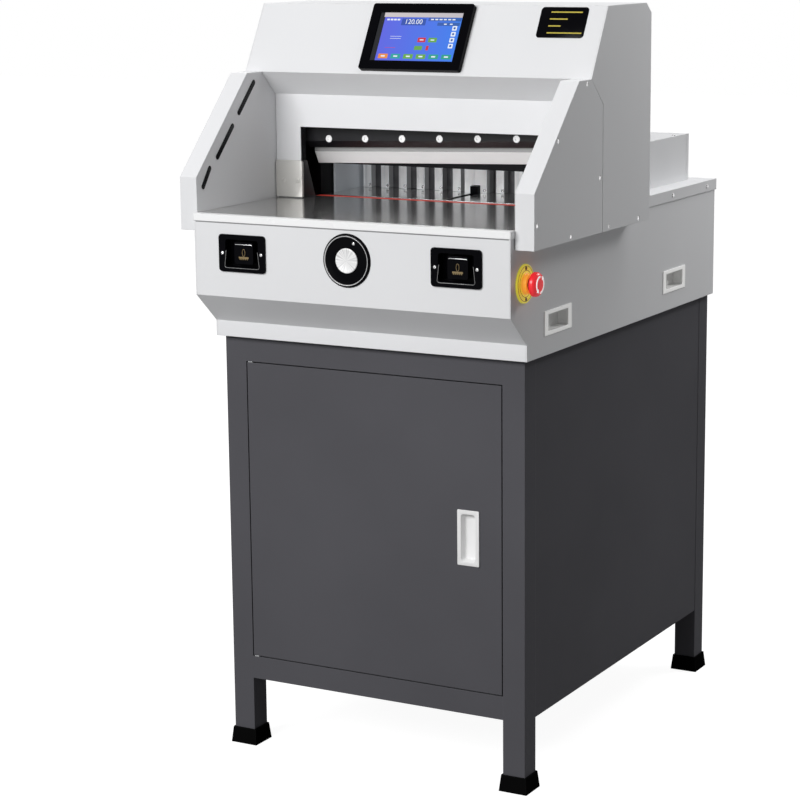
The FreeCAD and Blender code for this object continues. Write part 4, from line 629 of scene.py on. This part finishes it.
# %% Model one screw head
def screw_head(radius, height):
    head = fresh(bpy.ops.mesh.primitive_cylinder_add, vertices=28, radius=radius, depth=height,
                 location=(0, 0, height / 2))
    bpy.ops.object.transform_apply()
    round_edges(head, lambda point: point.z > height * 0.9, height * 0.85, 5)
    for vertex in head.data.vertices:
        reach = (vertex.co.x ** 2 + vertex.co.y ** 2) / radius ** 2
        vertex.co.z *= 1 if vertex.co.z < height * 0.2 else 0.82 + 0.18 * (1 - reach)
    for spin in (0, pi / 2):
        bar = slab(radius * 1.25, radius * 0.28, height)
        bar.matrix_world = shift((0, 0, height * 0.4)) @ Matrix.Rotation(spin, 4, "Z")
        combine(head, bar, "DIFFERENCE")
    return head


pan_screw = screw_head(0.0036, 0.002)
sunk_screw = screw_head(0.0039, 0.00128)
small_screw = screw_head(0.0029, 0.0015)
round_screw = screw_head(0.0042, 0.0022)
print("screw head", len(pan_screw.data.polygons), "faces")

# %% Put the screws in their places
side_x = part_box("right_guard")[1].x
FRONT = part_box("base_front_panel")[0].y
SEAT_DEPTH, COVER_DROP, HOOD_INSET = 0.0013, 0.01, 0.008
SEATS = [(0.022, 0.949), (0.098, 1.073), (0.205, 1.155), (0.256, 1.001), (0.145, 0.918),
         (0.293, 0.918), (0.414, 0.918)]  # distance behind the front panel, and height
COVER_SCREWS, HOOD_SCREW = (0.643, 0.806), 0.766
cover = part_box("rear_table_cover")
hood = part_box("rear_hood")
sunk, pans = [], []
for way in (-1, 1):
    for number, (y, z) in enumerate(SEATS):
        place = (way * (side_x - SEAT_DEPTH), FRONT + y, z)
        sunk.append(put(sunk_screw, place, (way, 0, 0), 0.5 * number))
    for number, y in enumerate(COVER_SCREWS):
        place = (way * cover[1].x, FRONT + y, cover[1].z - COVER_DROP)
        pans.append(put(pan_screw, place, (way, 0, 0), 0.4 + number))
    place = (way * (hood[1].x - HOOD_INSET), FRONT + HOOD_SCREW, hood[1].z)
    pans.append(put(pan_screw, place, (0, 0, 1), 0.3 * way))
complete(sunk, "casing_screws_sunk", zinc_painted_glint)
complete(pans, "casing_screws_pan", zinc_painted_glint)

# %% [markdown]
# ## Flanges behind the joints
#
# Where a guard meets the head's side, the real sheets lap: a narrow flange of the head's panel goes
# behind the guard, so the joint shows as a faint line, not as a black slit. It could be painted on,
# but a strip just below the surface gives the joint its real, shallow depth.

# %% Flanges
plate_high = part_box("recess_plate")[1]
guard_low, guard_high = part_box("right_guard")
head_start = plate_high.y + 0.0007  # the edge of the head's side panel
FLANGE_THICK, FLANGE_SUNK, TOP_GAP, FOOT_GAP, PLAY = 0.001, 0.0004, 0.002, 0.001, 0.0001
run_up = plate_high.z - guard_low.z - TOP_GAP - FOOT_GAP
flanges = []
for way in (-1, 1):
    flange = slab(run_up, head_start - guard_high.y - PLAY, FLANGE_THICK)
    place = (way * (side_x - FLANGE_SUNK - FLANGE_THICK / 2) - FLANGE_THICK / 2,
             (head_start + guard_high.y) / 2, plate_high.z - TOP_GAP - run_up / 2)
    flange.matrix_world = shift(place) @ Matrix.Rotation(pi / 2, 4, "Y")
    flanges.append(flange)
complete(flanges, "joint_flanges", body_paint)

# %% [markdown]
# ## Side lays
#
# The brackets beside the knife are ground plates with a rounded inner corner, and a darker gusset
# is welded behind each. The node could keep its one finish, but a bright edge before a dark gusset
# shows that they are two plates.

# %% Plates, gussets and screws of the lays
lay_low, lay_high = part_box("side_lays")
LAY_THICK, GUSSET_THICK, LAY_GAP, GUSSET_TOP = 0.006, 0.004, 0.0017, 0.018
INNER_X, LAY_SCREWS, LAY_SCREW_RISE = 0.24, (0.2488, 0.2774), 0.0304
width, height = lay_high.x - INNER_X, lay_high.z - lay_low.z - LAY_GAP
reach, rise = lay_high.y - lay_low.y, lay_high.z - lay_low.z
outline = [(LAY_THICK, 0), (reach, 0), (GUSSET_TOP, rise), (LAY_THICK, rise)]
on_edge = Matrix(((0, 0, 1, 0), (1, 0, 0, 0), (0, 1, 0, 0), (0, 0, 0, 1)))
plates, gussets, lay_screws = [], [], []
for way in (-1, 1):
    plate = slab(width, height, LAY_THICK)
    round_edges(plate, lambda point: point.x * way < 0 < point.y, 0.004, 5)
    soften(plate, 0.0007)
    place = (way * (INNER_X + width / 2), lay_low.y + LAY_THICK, lay_low.z + LAY_GAP + height / 2)
    plate.matrix_world = panel_frame(place)
    plates.append(plate)
    gusset = slab(1, 1, GUSSET_THICK)
    corners = sorted(gusset.data.vertices, key=lambda v: (v.co.z, atan2(v.co.y, v.co.x)))
    for number, vertex in enumerate(corners):
        vertex.co.x, vertex.co.y = outline[number % 4]
    place = (way * (INNER_X + GUSSET_THICK / 2) - GUSSET_THICK / 2, lay_low.y, lay_low.z)
    gusset.matrix_world = shift(place) @ on_edge
    gussets.append(soften(gusset, 0.0004))
    for x in LAY_SCREWS:
        lay_screws.append(put(round_screw, (way * x, lay_low.y, lay_low.z + LAY_SCREW_RISE), ahead, x * 20))
lays = complete(plates, "lay_plates", brushed_steel)
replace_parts(lays, "side_lays")
complete(gussets, "lay_gussets", gusset_steel)
complete(lay_screws, "lay_screws", brushed_steel)

# %% [markdown]
# ## Strip, seal and the gauge's screws
#
# A black strip lies in the step behind the red stick: a painted shadow in the groove. A thin grey
# seal lies in the joint between the front panel and the trim; its grey is a painted shadow line
# under the trim. Each finger of the gauge has a small screw at its foot.

# %% Strip, seal and gauge screws
stick_low, stick_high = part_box("cutting_stick")
STRIP_WIDE, STRIP_THICK, STRIP_SUNK = 0.0088, 0.0022, 0.0029
# The strip is black: a painted shadow in the groove's step.
strip = soften(slab(stick_high.x - stick_low.x, STRIP_WIDE, STRIP_THICK), 0.0005)
strip.matrix_world = shift((0, stick_high.y + PLAY + STRIP_WIDE / 2, lay_low.z - STRIP_SUNK))
complete(strip, "stick_groove_shadow_strip", black_plastic)
panel_low, panel_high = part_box("base_front_panel")
SEAL_SHORTER, SEAL_WIDE, SEAL_THICK, SEAL_DROP = 0.002, 0.0014, 0.0006, 0.0012
# The seal's grey is a painted shadow line under the trim.
seal = soften(slab(panel_high.x - panel_low.x - SEAL_SHORTER, SEAL_WIDE, SEAL_THICK), 0.0002)
seal.matrix_world = panel_frame((0, panel_low.y, panel_high.z - SEAL_DROP))
complete(seal, "trim_seal", seal_painted_shadow)
gauge_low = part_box("back_gauge")[0]
FINGERS, FIRST, PITCH, ASIDE, FINGER_SET, MIDDLE_X = 6, 0.043, 0.0366, 0.0048, 0.01, 0.0175
foot_z = gauge_low.z + 0.005
feet = [put(small_screw, (MIDDLE_X, gauge_low.y, foot_z), ahead)]
for number in range(FINGERS):
    for way in (-1, 1):
        place = (way * (FIRST + number * PITCH) + ASIDE, gauge_low.y + FINGER_SET, foot_z)
        feet.append(put(small_screw, place, ahead, number))
complete(feet, "gauge_foot_screws", screw_zinc, "gauge")

# %% [markdown]
# ## Light curtain lenses and the door's pull
#
# Three long lenses in each guard, flat rounded bars over the slots in the sheet, let the light
# curtain through. The pull is one moulding: a thin flange and a shallow pocket for the fingers, cut
# with a tapered block so that its walls lean as a mould needs.

# %% Lenses over the slots
inner_side = -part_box("left_guard")[1].x
# Each row: place along y, height, lean in degrees, length.
LENSES = [(-0.3793, 0.9965, 54, 0.044), (-0.3202, 1.0518, 45, 0.077), (-0.2509, 1.1211, 45, 0.077)]
LENS_WIDE, LENS_THICK, LENS_CORNER = 0.0095, 0.0007, 0.0046
lenses = []
for way in (-1, 1):
    for y, z, lean, length in LENSES:
        lens = soften(slab(length, LENS_WIDE, LENS_THICK, LENS_CORNER, 6), 0.0002)
        sideways = Matrix.Rotation(-way * pi / 2, 4, "Y") @ Matrix.Rotation(pi / 2, 4, "Z")
        place = shift((way * inner_side, y, z))
        lens.matrix_world = place @ Matrix.Rotation(radians(lean), 4, "X") @ sideways
        lenses.append(lens)
complete(lenses, "curtain_lenses", lens_dark)

# %% Pull
pull_low, pull_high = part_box("door_handle")
FLANGE, POCKET, BACK_DEEP = 0.0025, 0.0085, 0.0105
pull = slab(0.04, 0.0935, FLANGE, 0.0018)
back = slab(0.0305, 0.088, BACK_DEEP, 0.004)
back.matrix_world = shift((0, 0, PLAY - BACK_DEEP))
combine(pull, back, "UNION")
cutter = slab(0.0265, 0.08, POCKET + FLANGE + 0.001, 0.0055, 6)
for vertex in cutter.data.vertices:
    if vertex.co.z < 0.001:  # the block's foot is narrower than its top
        vertex.co.x, vertex.co.y = vertex.co.x * 0.8, vertex.co.y * 0.93
cutter.matrix_world = shift((0, 0, -POCKET))
combine(pull, cutter, "DIFFERENCE")
soften(pull, 0.0006)
pull_x, pull_z = (pull_low.x + pull_high.x) / 2, (pull_low.z + pull_high.z) / 2
pull.matrix_world = panel_frame((pull_x, pull_low.y + FLANGE, pull_z))
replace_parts(complete(pull, "door_pull", pale_plastic, "door"), "door_handle")

# %% [markdown]
# ## Cut buttons and their housings
#
# Both hands are needed to cut, so there are two deep housings with a square button in each. Along
# the sides and the bottom of the cup's lip, where a finger slides in, a grey wire is a painted
# highlight, and a silver wire along each button's upper edge is one too. Each button has a gold
# mark: a loop over a toothed bar. The mark could be a picture, but a loop of wire catches the light
# as the real one does.

# %% Housings: screws and painted lip highlights
boxes_low, boxes_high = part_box("button_boxes")
middle_z = (boxes_low.z + boxes_high.z) / 2
BUTTON_X, SCREW_ASIDE, FINE_WIRE = 0.199, 0.0375, 0.00045
CUP_HALF, CUP_HIGH, CUP_CORNER, CORNER_STEPS = 0.0335, 0.0245, 0.004, 6
corner_x, corner_y = CUP_CORNER - CUP_HALF, CUP_CORNER - CUP_HIGH
run = [(0.003 - CUP_HALF, 0.004), (-CUP_HALF, corner_y)]
for step in range(1, CORNER_STEPS + 1):
    angle = pi + pi / 2 * step / CORNER_STEPS
    run.append((corner_x + CUP_CORNER * cos(angle), corner_y + CUP_CORNER * sin(angle)))
run += [(-u, v) for u, v in reversed(run)]
lip_highlights, box_screws = [], []
for way in (-1, 1):
    for side in (-1, 1):
        place = (way * BUTTON_X + side * SCREW_ASIDE, boxes_low.y, middle_z)
        box_screws.append(put(small_screw, place, ahead, side + way))
    # The grey wire along the cup's lip is a painted highlight.
    lip = wire(run, FINE_WIRE)
    lip.matrix_world = panel_frame((way * BUTTON_X, boxes_low.y + 0.0002, middle_z))
    lip_highlights.append(lip)
complete(box_screws, "housing_screws", screw_zinc)
complete(lip_highlights, "housing_lip_highlights", lip_painted_highlight)

# %% Buttons: painted highlight along the upper edge, and gold mark
# A silver wire along each button's upper edge is a painted highlight.
RIDGE = [(-0.016, 0.0135), (-0.0155, 0.0142), (0.0155, 0.0142), (0.016, 0.013)]
LOOP = [(0.0026 * cos(a * pi / 8), 0.0006 + 0.006 * sin(a * pi / 8)) for a in range(17)]
for way, body in ((-1, "left_button"), (1, "right_button")):
    low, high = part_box(body.replace("button", "cut_button"))
    face = (way * BUTTON_X, low.y, middle_z)
    ridge = wire(RIDGE, 0.0006)
    ridge.matrix_world = panel_frame(face)
    complete(ridge, body + "_edge", silver_painted_highlight, body)
    loop = wire(LOOP, FINE_WIRE, 0.0001)
    bar = slab(0.019, 0.003, 0.0003, 0.0006, 2)
    bar.location = (0, -0.0075, 0)
    teeth = []
    for u in (-0.007, -0.0035, 0.0, 0.0035, 0.007):
        tooth = slab(0.0018, 0.0022, 0.0003, 0.0004, 2)
        tooth.location = (u, -0.0098, 0)
        teeth.append(tooth)
    mark = joined([loop, bar] + teeth)
    mark.matrix_world = panel_frame(face) @ mark.matrix_world
    complete(mark, body + "_mark", gold_ink, body)

# %% [markdown]
# ## Hand wheel
#
# The wheel sits low on the panel: a glossy black ring with a rounded inner lip, a dished dial that
# the finger turns, a spun disc in its middle and a steel pin at the finger's place. All are turned.
# The lip is silver, a painted highlight. The dial keeps its shaft, which runs through the panel.

# %% Ring, lip, dial, hub and pin
ring_low, ring_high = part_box("hand_wheel_bezel")
wheel = Vector(((ring_low.x + ring_high.x) / 2, ring_high.y, (ring_low.z + ring_high.z) / 2))
rim = (ring_high.x - ring_low.x) / 2 * 1000


def wheel_part(section, name, material, body="machine", steps=96, place=wheel):
    """A turned piece of the wheel from a section in millimetres."""
    made = turned([(radius / 1000, height / 1000) for radius, height in section], steps)
    made.matrix_world = facing(place, ahead)
    return complete(made, name, material, body)


ring = wheel_part(
    [(38.8, 0), (38.8, 3.0), (40.0, 4.0), (41.4, 3.8), (42.9, 2.7), (43.7, 1.3), (rim, 0), (38.8, 0)],
    "wheel_ring", black_plastic)
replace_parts(ring, "hand_wheel_bezel")
# The ring's inner lip is silver: a painted highlight.
wheel_part([(38.8, 3.0), (39.1, 3.7), (39.7, 4.15), (40.3, 4.1), (40.1, 3.6), (38.8, 3.0)],
           "wheel_ring_lip", silver_painted_highlight)
dial = wheel_part(
    [(0, -16), (10, -16), (10, 0.4), (38.4, 0.4), (38.4, 2.7), (37.9, 3.0), (37.0, 2.8), (31, 1.7),
     (22, 1.1), (0, 1.0)], "wheel_dial", black_plastic, "wheel")
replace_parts(dial, "hand_wheel_dial")
hub = wheel_part([(0, 0.8), (20.3, 0.8), (20.3, 2.2), (19.7, 2.8), (18.9, 3.0), (18.1, 2.7), (0, 2.6)],
                 "wheel_hub", hub_steel, "wheel", 72)
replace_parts(hub, "hand_wheel_hub")
wheel_part([(0, 1.0), (2.6, 1.0), (2.6, 2.4), (2.1, 3.0), (1.2, 3.3), (0, 3.4)],
           "wheel_pin", screw_zinc, "wheel", 24, wheel + Vector((0.0135, 0, 0.0285)))

# %% [markdown]
# ## Stop button
#
# A red mushroom head on an orange sleeve stands on a round yellow collar. The head has a rolled rim
# and a crowned face, and white arrows show which way it is twisted to let go. They are flat rings
# cut short, each with a point at its end. The collar's dark lines are inlaid.

# %% Collar, inlaid lines, sleeve and screws
collar_low, collar_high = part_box("stop_collar")
stop = Vector((collar_low.x, (collar_low.y + collar_high.y) / 2, (collar_low.z + collar_high.z) / 2))
edge = (collar_high.y - collar_low.y) / 2
PLATE_THICK, CHAMFER, STEM_HOLE, LINE_HALF = 0.003, 0.0008, 0.0112, 0.0004
collar = turned([(STEM_HOLE, 0), (edge, 0), (edge, PLATE_THICK - CHAMFER), (edge - CHAMFER, PLATE_THICK),
                 (STEM_HOLE, PLATE_THICK), (STEM_HOLE, 0)], 72)
collar.matrix_world = facing(stop, outward)
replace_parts(complete(collar, "collar_plate", yellow_plastic), "stop_collar")
inlay = joined([flat_ring(r - LINE_HALF, r + LINE_HALF, 0.0002, 72) for r in (0.0278, 0.0212)])
inlay.matrix_world = facing(stop + Vector((PLATE_THICK - 0.00005, 0, 0)), outward)
complete(inlay, "collar_lines", dark_ink)
length = collar_high.x - collar_low.x - PLATE_THICK
sleeve = turned([(STEM_HOLE, 0), (0.0172, 0), (0.0172, 0.0012), (0.016, 0.002), (0.016, length - 0.0006),
                 (0.0154, length), (STEM_HOLE, length), (STEM_HOLE, 0)], 56)
sleeve.matrix_world = facing(stop + Vector((PLATE_THICK, 0, 0)), outward)
complete(sleeve, "collar_sleeve", orange_plastic)
collar_screws = [put(small_screw, stop + Vector((PLATE_THICK, 0, z)), outward, z * 30)
                 for z in (-0.0245, 0.0245)]
complete(collar_screws, "collar_screws", gold_ink)

# %% Head with its twist arrows
head_low, head_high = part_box("stop_button")
head_radius, tall = (head_high.y - head_low.y) / 2, head_high.x - head_low.x
NECK, NECK_DEEP = 0.0053, 0.0062
# The rim's section: millimetres in from the widest radius, and height.
RIM = [(1.2, 0), (0.3, 0.6), (0, 1.8), (0, 5.8), (0.6, 7.8), (2.1, 9.7), (4.4, 11.0), (7.5, 11.7)]
rolled = [(head_radius - inset / 1000, height / 1000) for inset, height in RIM]
head = turned([(NECK, 0)] + rolled + [(0.006, tall - 0.0001), (0, tall)], 72)
head = joined([head, turned([(0, NECK_DEEP), (NECK, NECK_DEEP), (NECK, 0)], 72)])
head.matrix_world = facing((head_low.x, stop.y, stop.z), outward)
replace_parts(complete(head, "mushroom_head", red_plastic, "stop_head"), "stop_button")
ARROW_THICK, sweep = 0.0007, radians(135)
arrows = []
for number in range(2):
    arc = flat_ring(0.0112, 0.014, ARROW_THICK, 24, sweep)
    point = fresh(bpy.ops.mesh.primitive_cylinder_add, vertices=3, radius=0.004, depth=ARROW_THICK)
    place = shift((0.0126, 0.0014, ARROW_THICK / 2))
    point.matrix_world = Matrix.Rotation(sweep, 4, "Z") @ place
    bpy.context.view_layer.update()
    arrow = joined([arc, point])
    arrow.matrix_world = Matrix.Rotation(pi * number + 0.4, 4, "Z") @ arrow.matrix_world
    arrows.append(arrow)
arrows = joined(arrows)
arrows.matrix_world = facing((head_high.x - 0.0005, stop.y, stop.z), outward)
complete(arrows, "twist_arrows", white_ink, "stop_head")

# %% [markdown]
# ## Screen page
#
# The touch screen shows a plain page: a number field, coloured keys and a row of tiles. It could be
# one painted texture, but small lit plates keep sharp edges at any size. No real page is copied:
# the keys carry only bars and dots. Every plate is placed on the display's own slope, which is read
# from the model.

# %% Helpers: a node's sloping face, and lit finishes
def sloping_face(name):
    """A matrix at the middle of a node's largest face that looks up and forward, and its height."""
    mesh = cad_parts[name].data
    slopes = [face for face in mesh.polygons if face.normal.y < -0.3 < face.normal.z]
    normal = max(slopes, key=lambda face: face.area).normal.copy()
    across = Vector((1, 0, 0))
    upward = normal.cross(across)
    level = max(vertex.co.dot(normal) for vertex in mesh.vertices)
    corners = [vertex.co for vertex in mesh.vertices if vertex.co.dot(normal) > level - 0.0002]
    u = [corner.dot(across) for corner in corners]
    v = [corner.dot(upward) for corner in corners]
    middle = across * (min(u) + max(u)) / 2 + upward * (min(v) + max(v)) / 2 + normal * level
    turn = Matrix((across, upward, normal)).transposed().to_4x4()
    return shift(middle) @ turn, max(v) - min(v)


PAGE_SPAN = (-0.084, 0.074)


def lit(name, left, right):
    """A glowing finish that passes from one colour to another across the machine."""
    made = finish("page " + name, (0.01, 0.01, 0.012), (0.012, 0.012, 0.014), 0.16, scale=60, depth=0.01,
                  radius=0.0001, glow=(1, 1))
    tree = made.node_tree
    share = ranged(tree, axes(tree, object_place(tree))["X"], *PAGE_SPAN)
    glow_with(made, mixed(tree, share, rgba(left), rgba(right)))
    return made


# %% Colours of the page
page_blue = lit("blue", (0.105, 0.115, 0.73), (0.035, 0.2, 0.82))
page_field = lit("field", (0.03, 0.07, 0.42), (0.02, 0.09, 0.38))
page_band = lit("band", (0.06, 0.08, 0.45), (0.02, 0.11, 0.4))
page_white = lit("white", (0.8, 0.84, 0.95), (0.8, 0.86, 0.95))
page_red = lit("red", (0.62, 0.02, 0.055), (0.55, 0.02, 0.05))
page_green = lit("green", (0.14, 0.4, 0.05), (0.12, 0.36, 0.06))
page_teal = lit("teal", (0.02, 0.36, 0.36), (0.015, 0.33, 0.22))
page_orange = lit("orange", (0.8, 0.26, 0.05), (0.75, 0.25, 0.06))
page_strip = lit("strip", (0.6, 0.55, 0.57), (0.52, 0.49, 0.52))

# %% Lay the page on the display
display, display_high = sloping_face("screen_display")
PAGE_WIDE, PAGE_HIGH, STRIP_HIGH, PAGE_ASIDE, PLATE_THIN = 0.147, 0.0805, 0.009, 0.005, 0.00012
page_top = display_high / 2 - STRIP_HIGH


def on_page(u, v, lift):
    """A matrix at fractions u and v of the page from its upper left, lifted in tenths of 1 mm."""
    place = ((u - 0.5) * PAGE_WIDE + PAGE_ASIDE, page_top - v * PAGE_HIGH, 0.0001 * lift)
    return display @ shift(place)


def plate_at(u, v, wide, high, lift=1, corner=0.0):
    made = slab(wide, high, PLATE_THIN, corner, 3)
    made.matrix_world = on_page(u, v, lift)
    return made


def key_at(u, v, wide=0.018, high=0.0085):
    return plate_at(u, v, wide, high, 2, 0.001)


def lay(parts, name, material):
    complete(parts, name, material)


FIELD, TILES_V = (0.385, 0.105), 0.895
tiles = [0.095 + 0.163 * number for number in range(6)]
side_keys = [0.24 + 0.135 * number for number in range(4)]
lay(plate_at(0.5, 0.5, PAGE_WIDE, PAGE_HIGH), "page_ground", page_blue)
lay(plate_at(0.5, -0.055, PAGE_WIDE + 0.004, STRIP_HIGH - 0.0008), "page_strip", page_strip)
lay(key_at(*FIELD, 0.046, 0.0125), "page_number_field", page_field)
lay([plate_at(0.78, 0.045, 0.062, 0.006, 2), plate_at(0.84, 0.15, 0.042, 0.006, 2)], "page_bands", page_band)
whites = [plate_at(0.93, v, 0.0085, 0.0082, 2, 0.0008) for v in side_keys]
whites += [plate_at(0.05 + 0.045 * i, 0.055, 0.005, 0.003, 2, 0.0004) for i in range(4)]
whites += [plate_at(0.62 + 0.055 * i, 0.045, 0.0055, 0.0022, 3) for i in range(6)]
whites += [plate_at(0.8 + 0.075 * i, 0.15, 0.005, 0.002, 3) for i in range(2)]
whites += [plate_at(0.2, 0.44, 0.021, 0.0006, 2), plate_at(0.2, 0.49, 0.021, 0.0006, 2)]
whites += [plate_at(u, TILES_V, 0.0075, 0.0024, 4, 0.0004) for u in tiles]
whites += [plate_at(u, 0.515, 0.007, 0.0018, 4) for u in (0.545, 0.685)]
lay(whites, "page_marks", page_white)
lay([key_at(0.545, 0.515, 0.015), key_at(0.64, 0.7, 0.005), plate_at(0.16, 0.7, 0.02, 0.0005, 2)],
    "page_red_keys", page_red)
lay([key_at(0.685, 0.515, 0.016), key_at(0.525, 0.7, 0.015, 0.0075)]
    + [key_at(tiles[number], TILES_V) for number in (2, 3)], "page_green_keys", page_green)
lay([key_at(tiles[number], TILES_V) for number in (1, 4, 5)], "page_teal_keys", page_teal)
lay(key_at(tiles[0], TILES_V), "page_orange_key", page_orange)
lay([plate_at(0.93, v, 0.004, 0.004, 4, 0.0016) for v in side_keys], "page_icons", page_field)

# %% The number in the field
number = fresh(bpy.ops.object.text_add)
text = number.data
text.body = "120.00"
text.size = 0.0125
text.extrude = 0.0001
text.align_x = text.align_y = "CENTER"
bpy.ops.object.convert(target="MESH")
number = bpy.context.object
number.matrix_world = on_page(*FIELD, 4)
lay(number, "page_number", page_white)

# %% [markdown]
# ## Blank plate on the head
#
# At the head's right there is a black plate. What is printed on the real one isn't copied: this
# one has four plain amber bars.

# %% Black plate and bars
slope, slope_high = sloping_face("head_front_panel")
PLATE_X, PLATE_DROP, PLATE_RAISED = 0.2535, 0.0311, 0.0006
plate_middle = slope @ shift((PLATE_X, slope_high / 2 - PLATE_DROP, 0))
plate = soften(slab(0.085, 0.0555, PLATE_RAISED, 0.006, 6), 0.0002)
plate.matrix_world = plate_middle
complete(plate, "blank_plate", black_plastic)
BAR_START, BAR_TOP, BAR_PITCH = -0.024, 0.0185, 0.0125
bars = []
for number, length in enumerate((0.056, 0.032, 0.022, 0.062)):
    bar = slab(length, 0.0022, 0.0001, 0.0004, 2)
    place = (BAR_START + length / 2, BAR_TOP - BAR_PITCH * number, PLATE_RAISED)
    bar.matrix_world = plate_middle @ shift(place)
    bars.append(bar)
complete(bars, "blank_plate_bars", amber_ink)
for model in (pan_screw, sunk_screw, small_screw, round_screw):
    bpy.data.objects.remove(model)
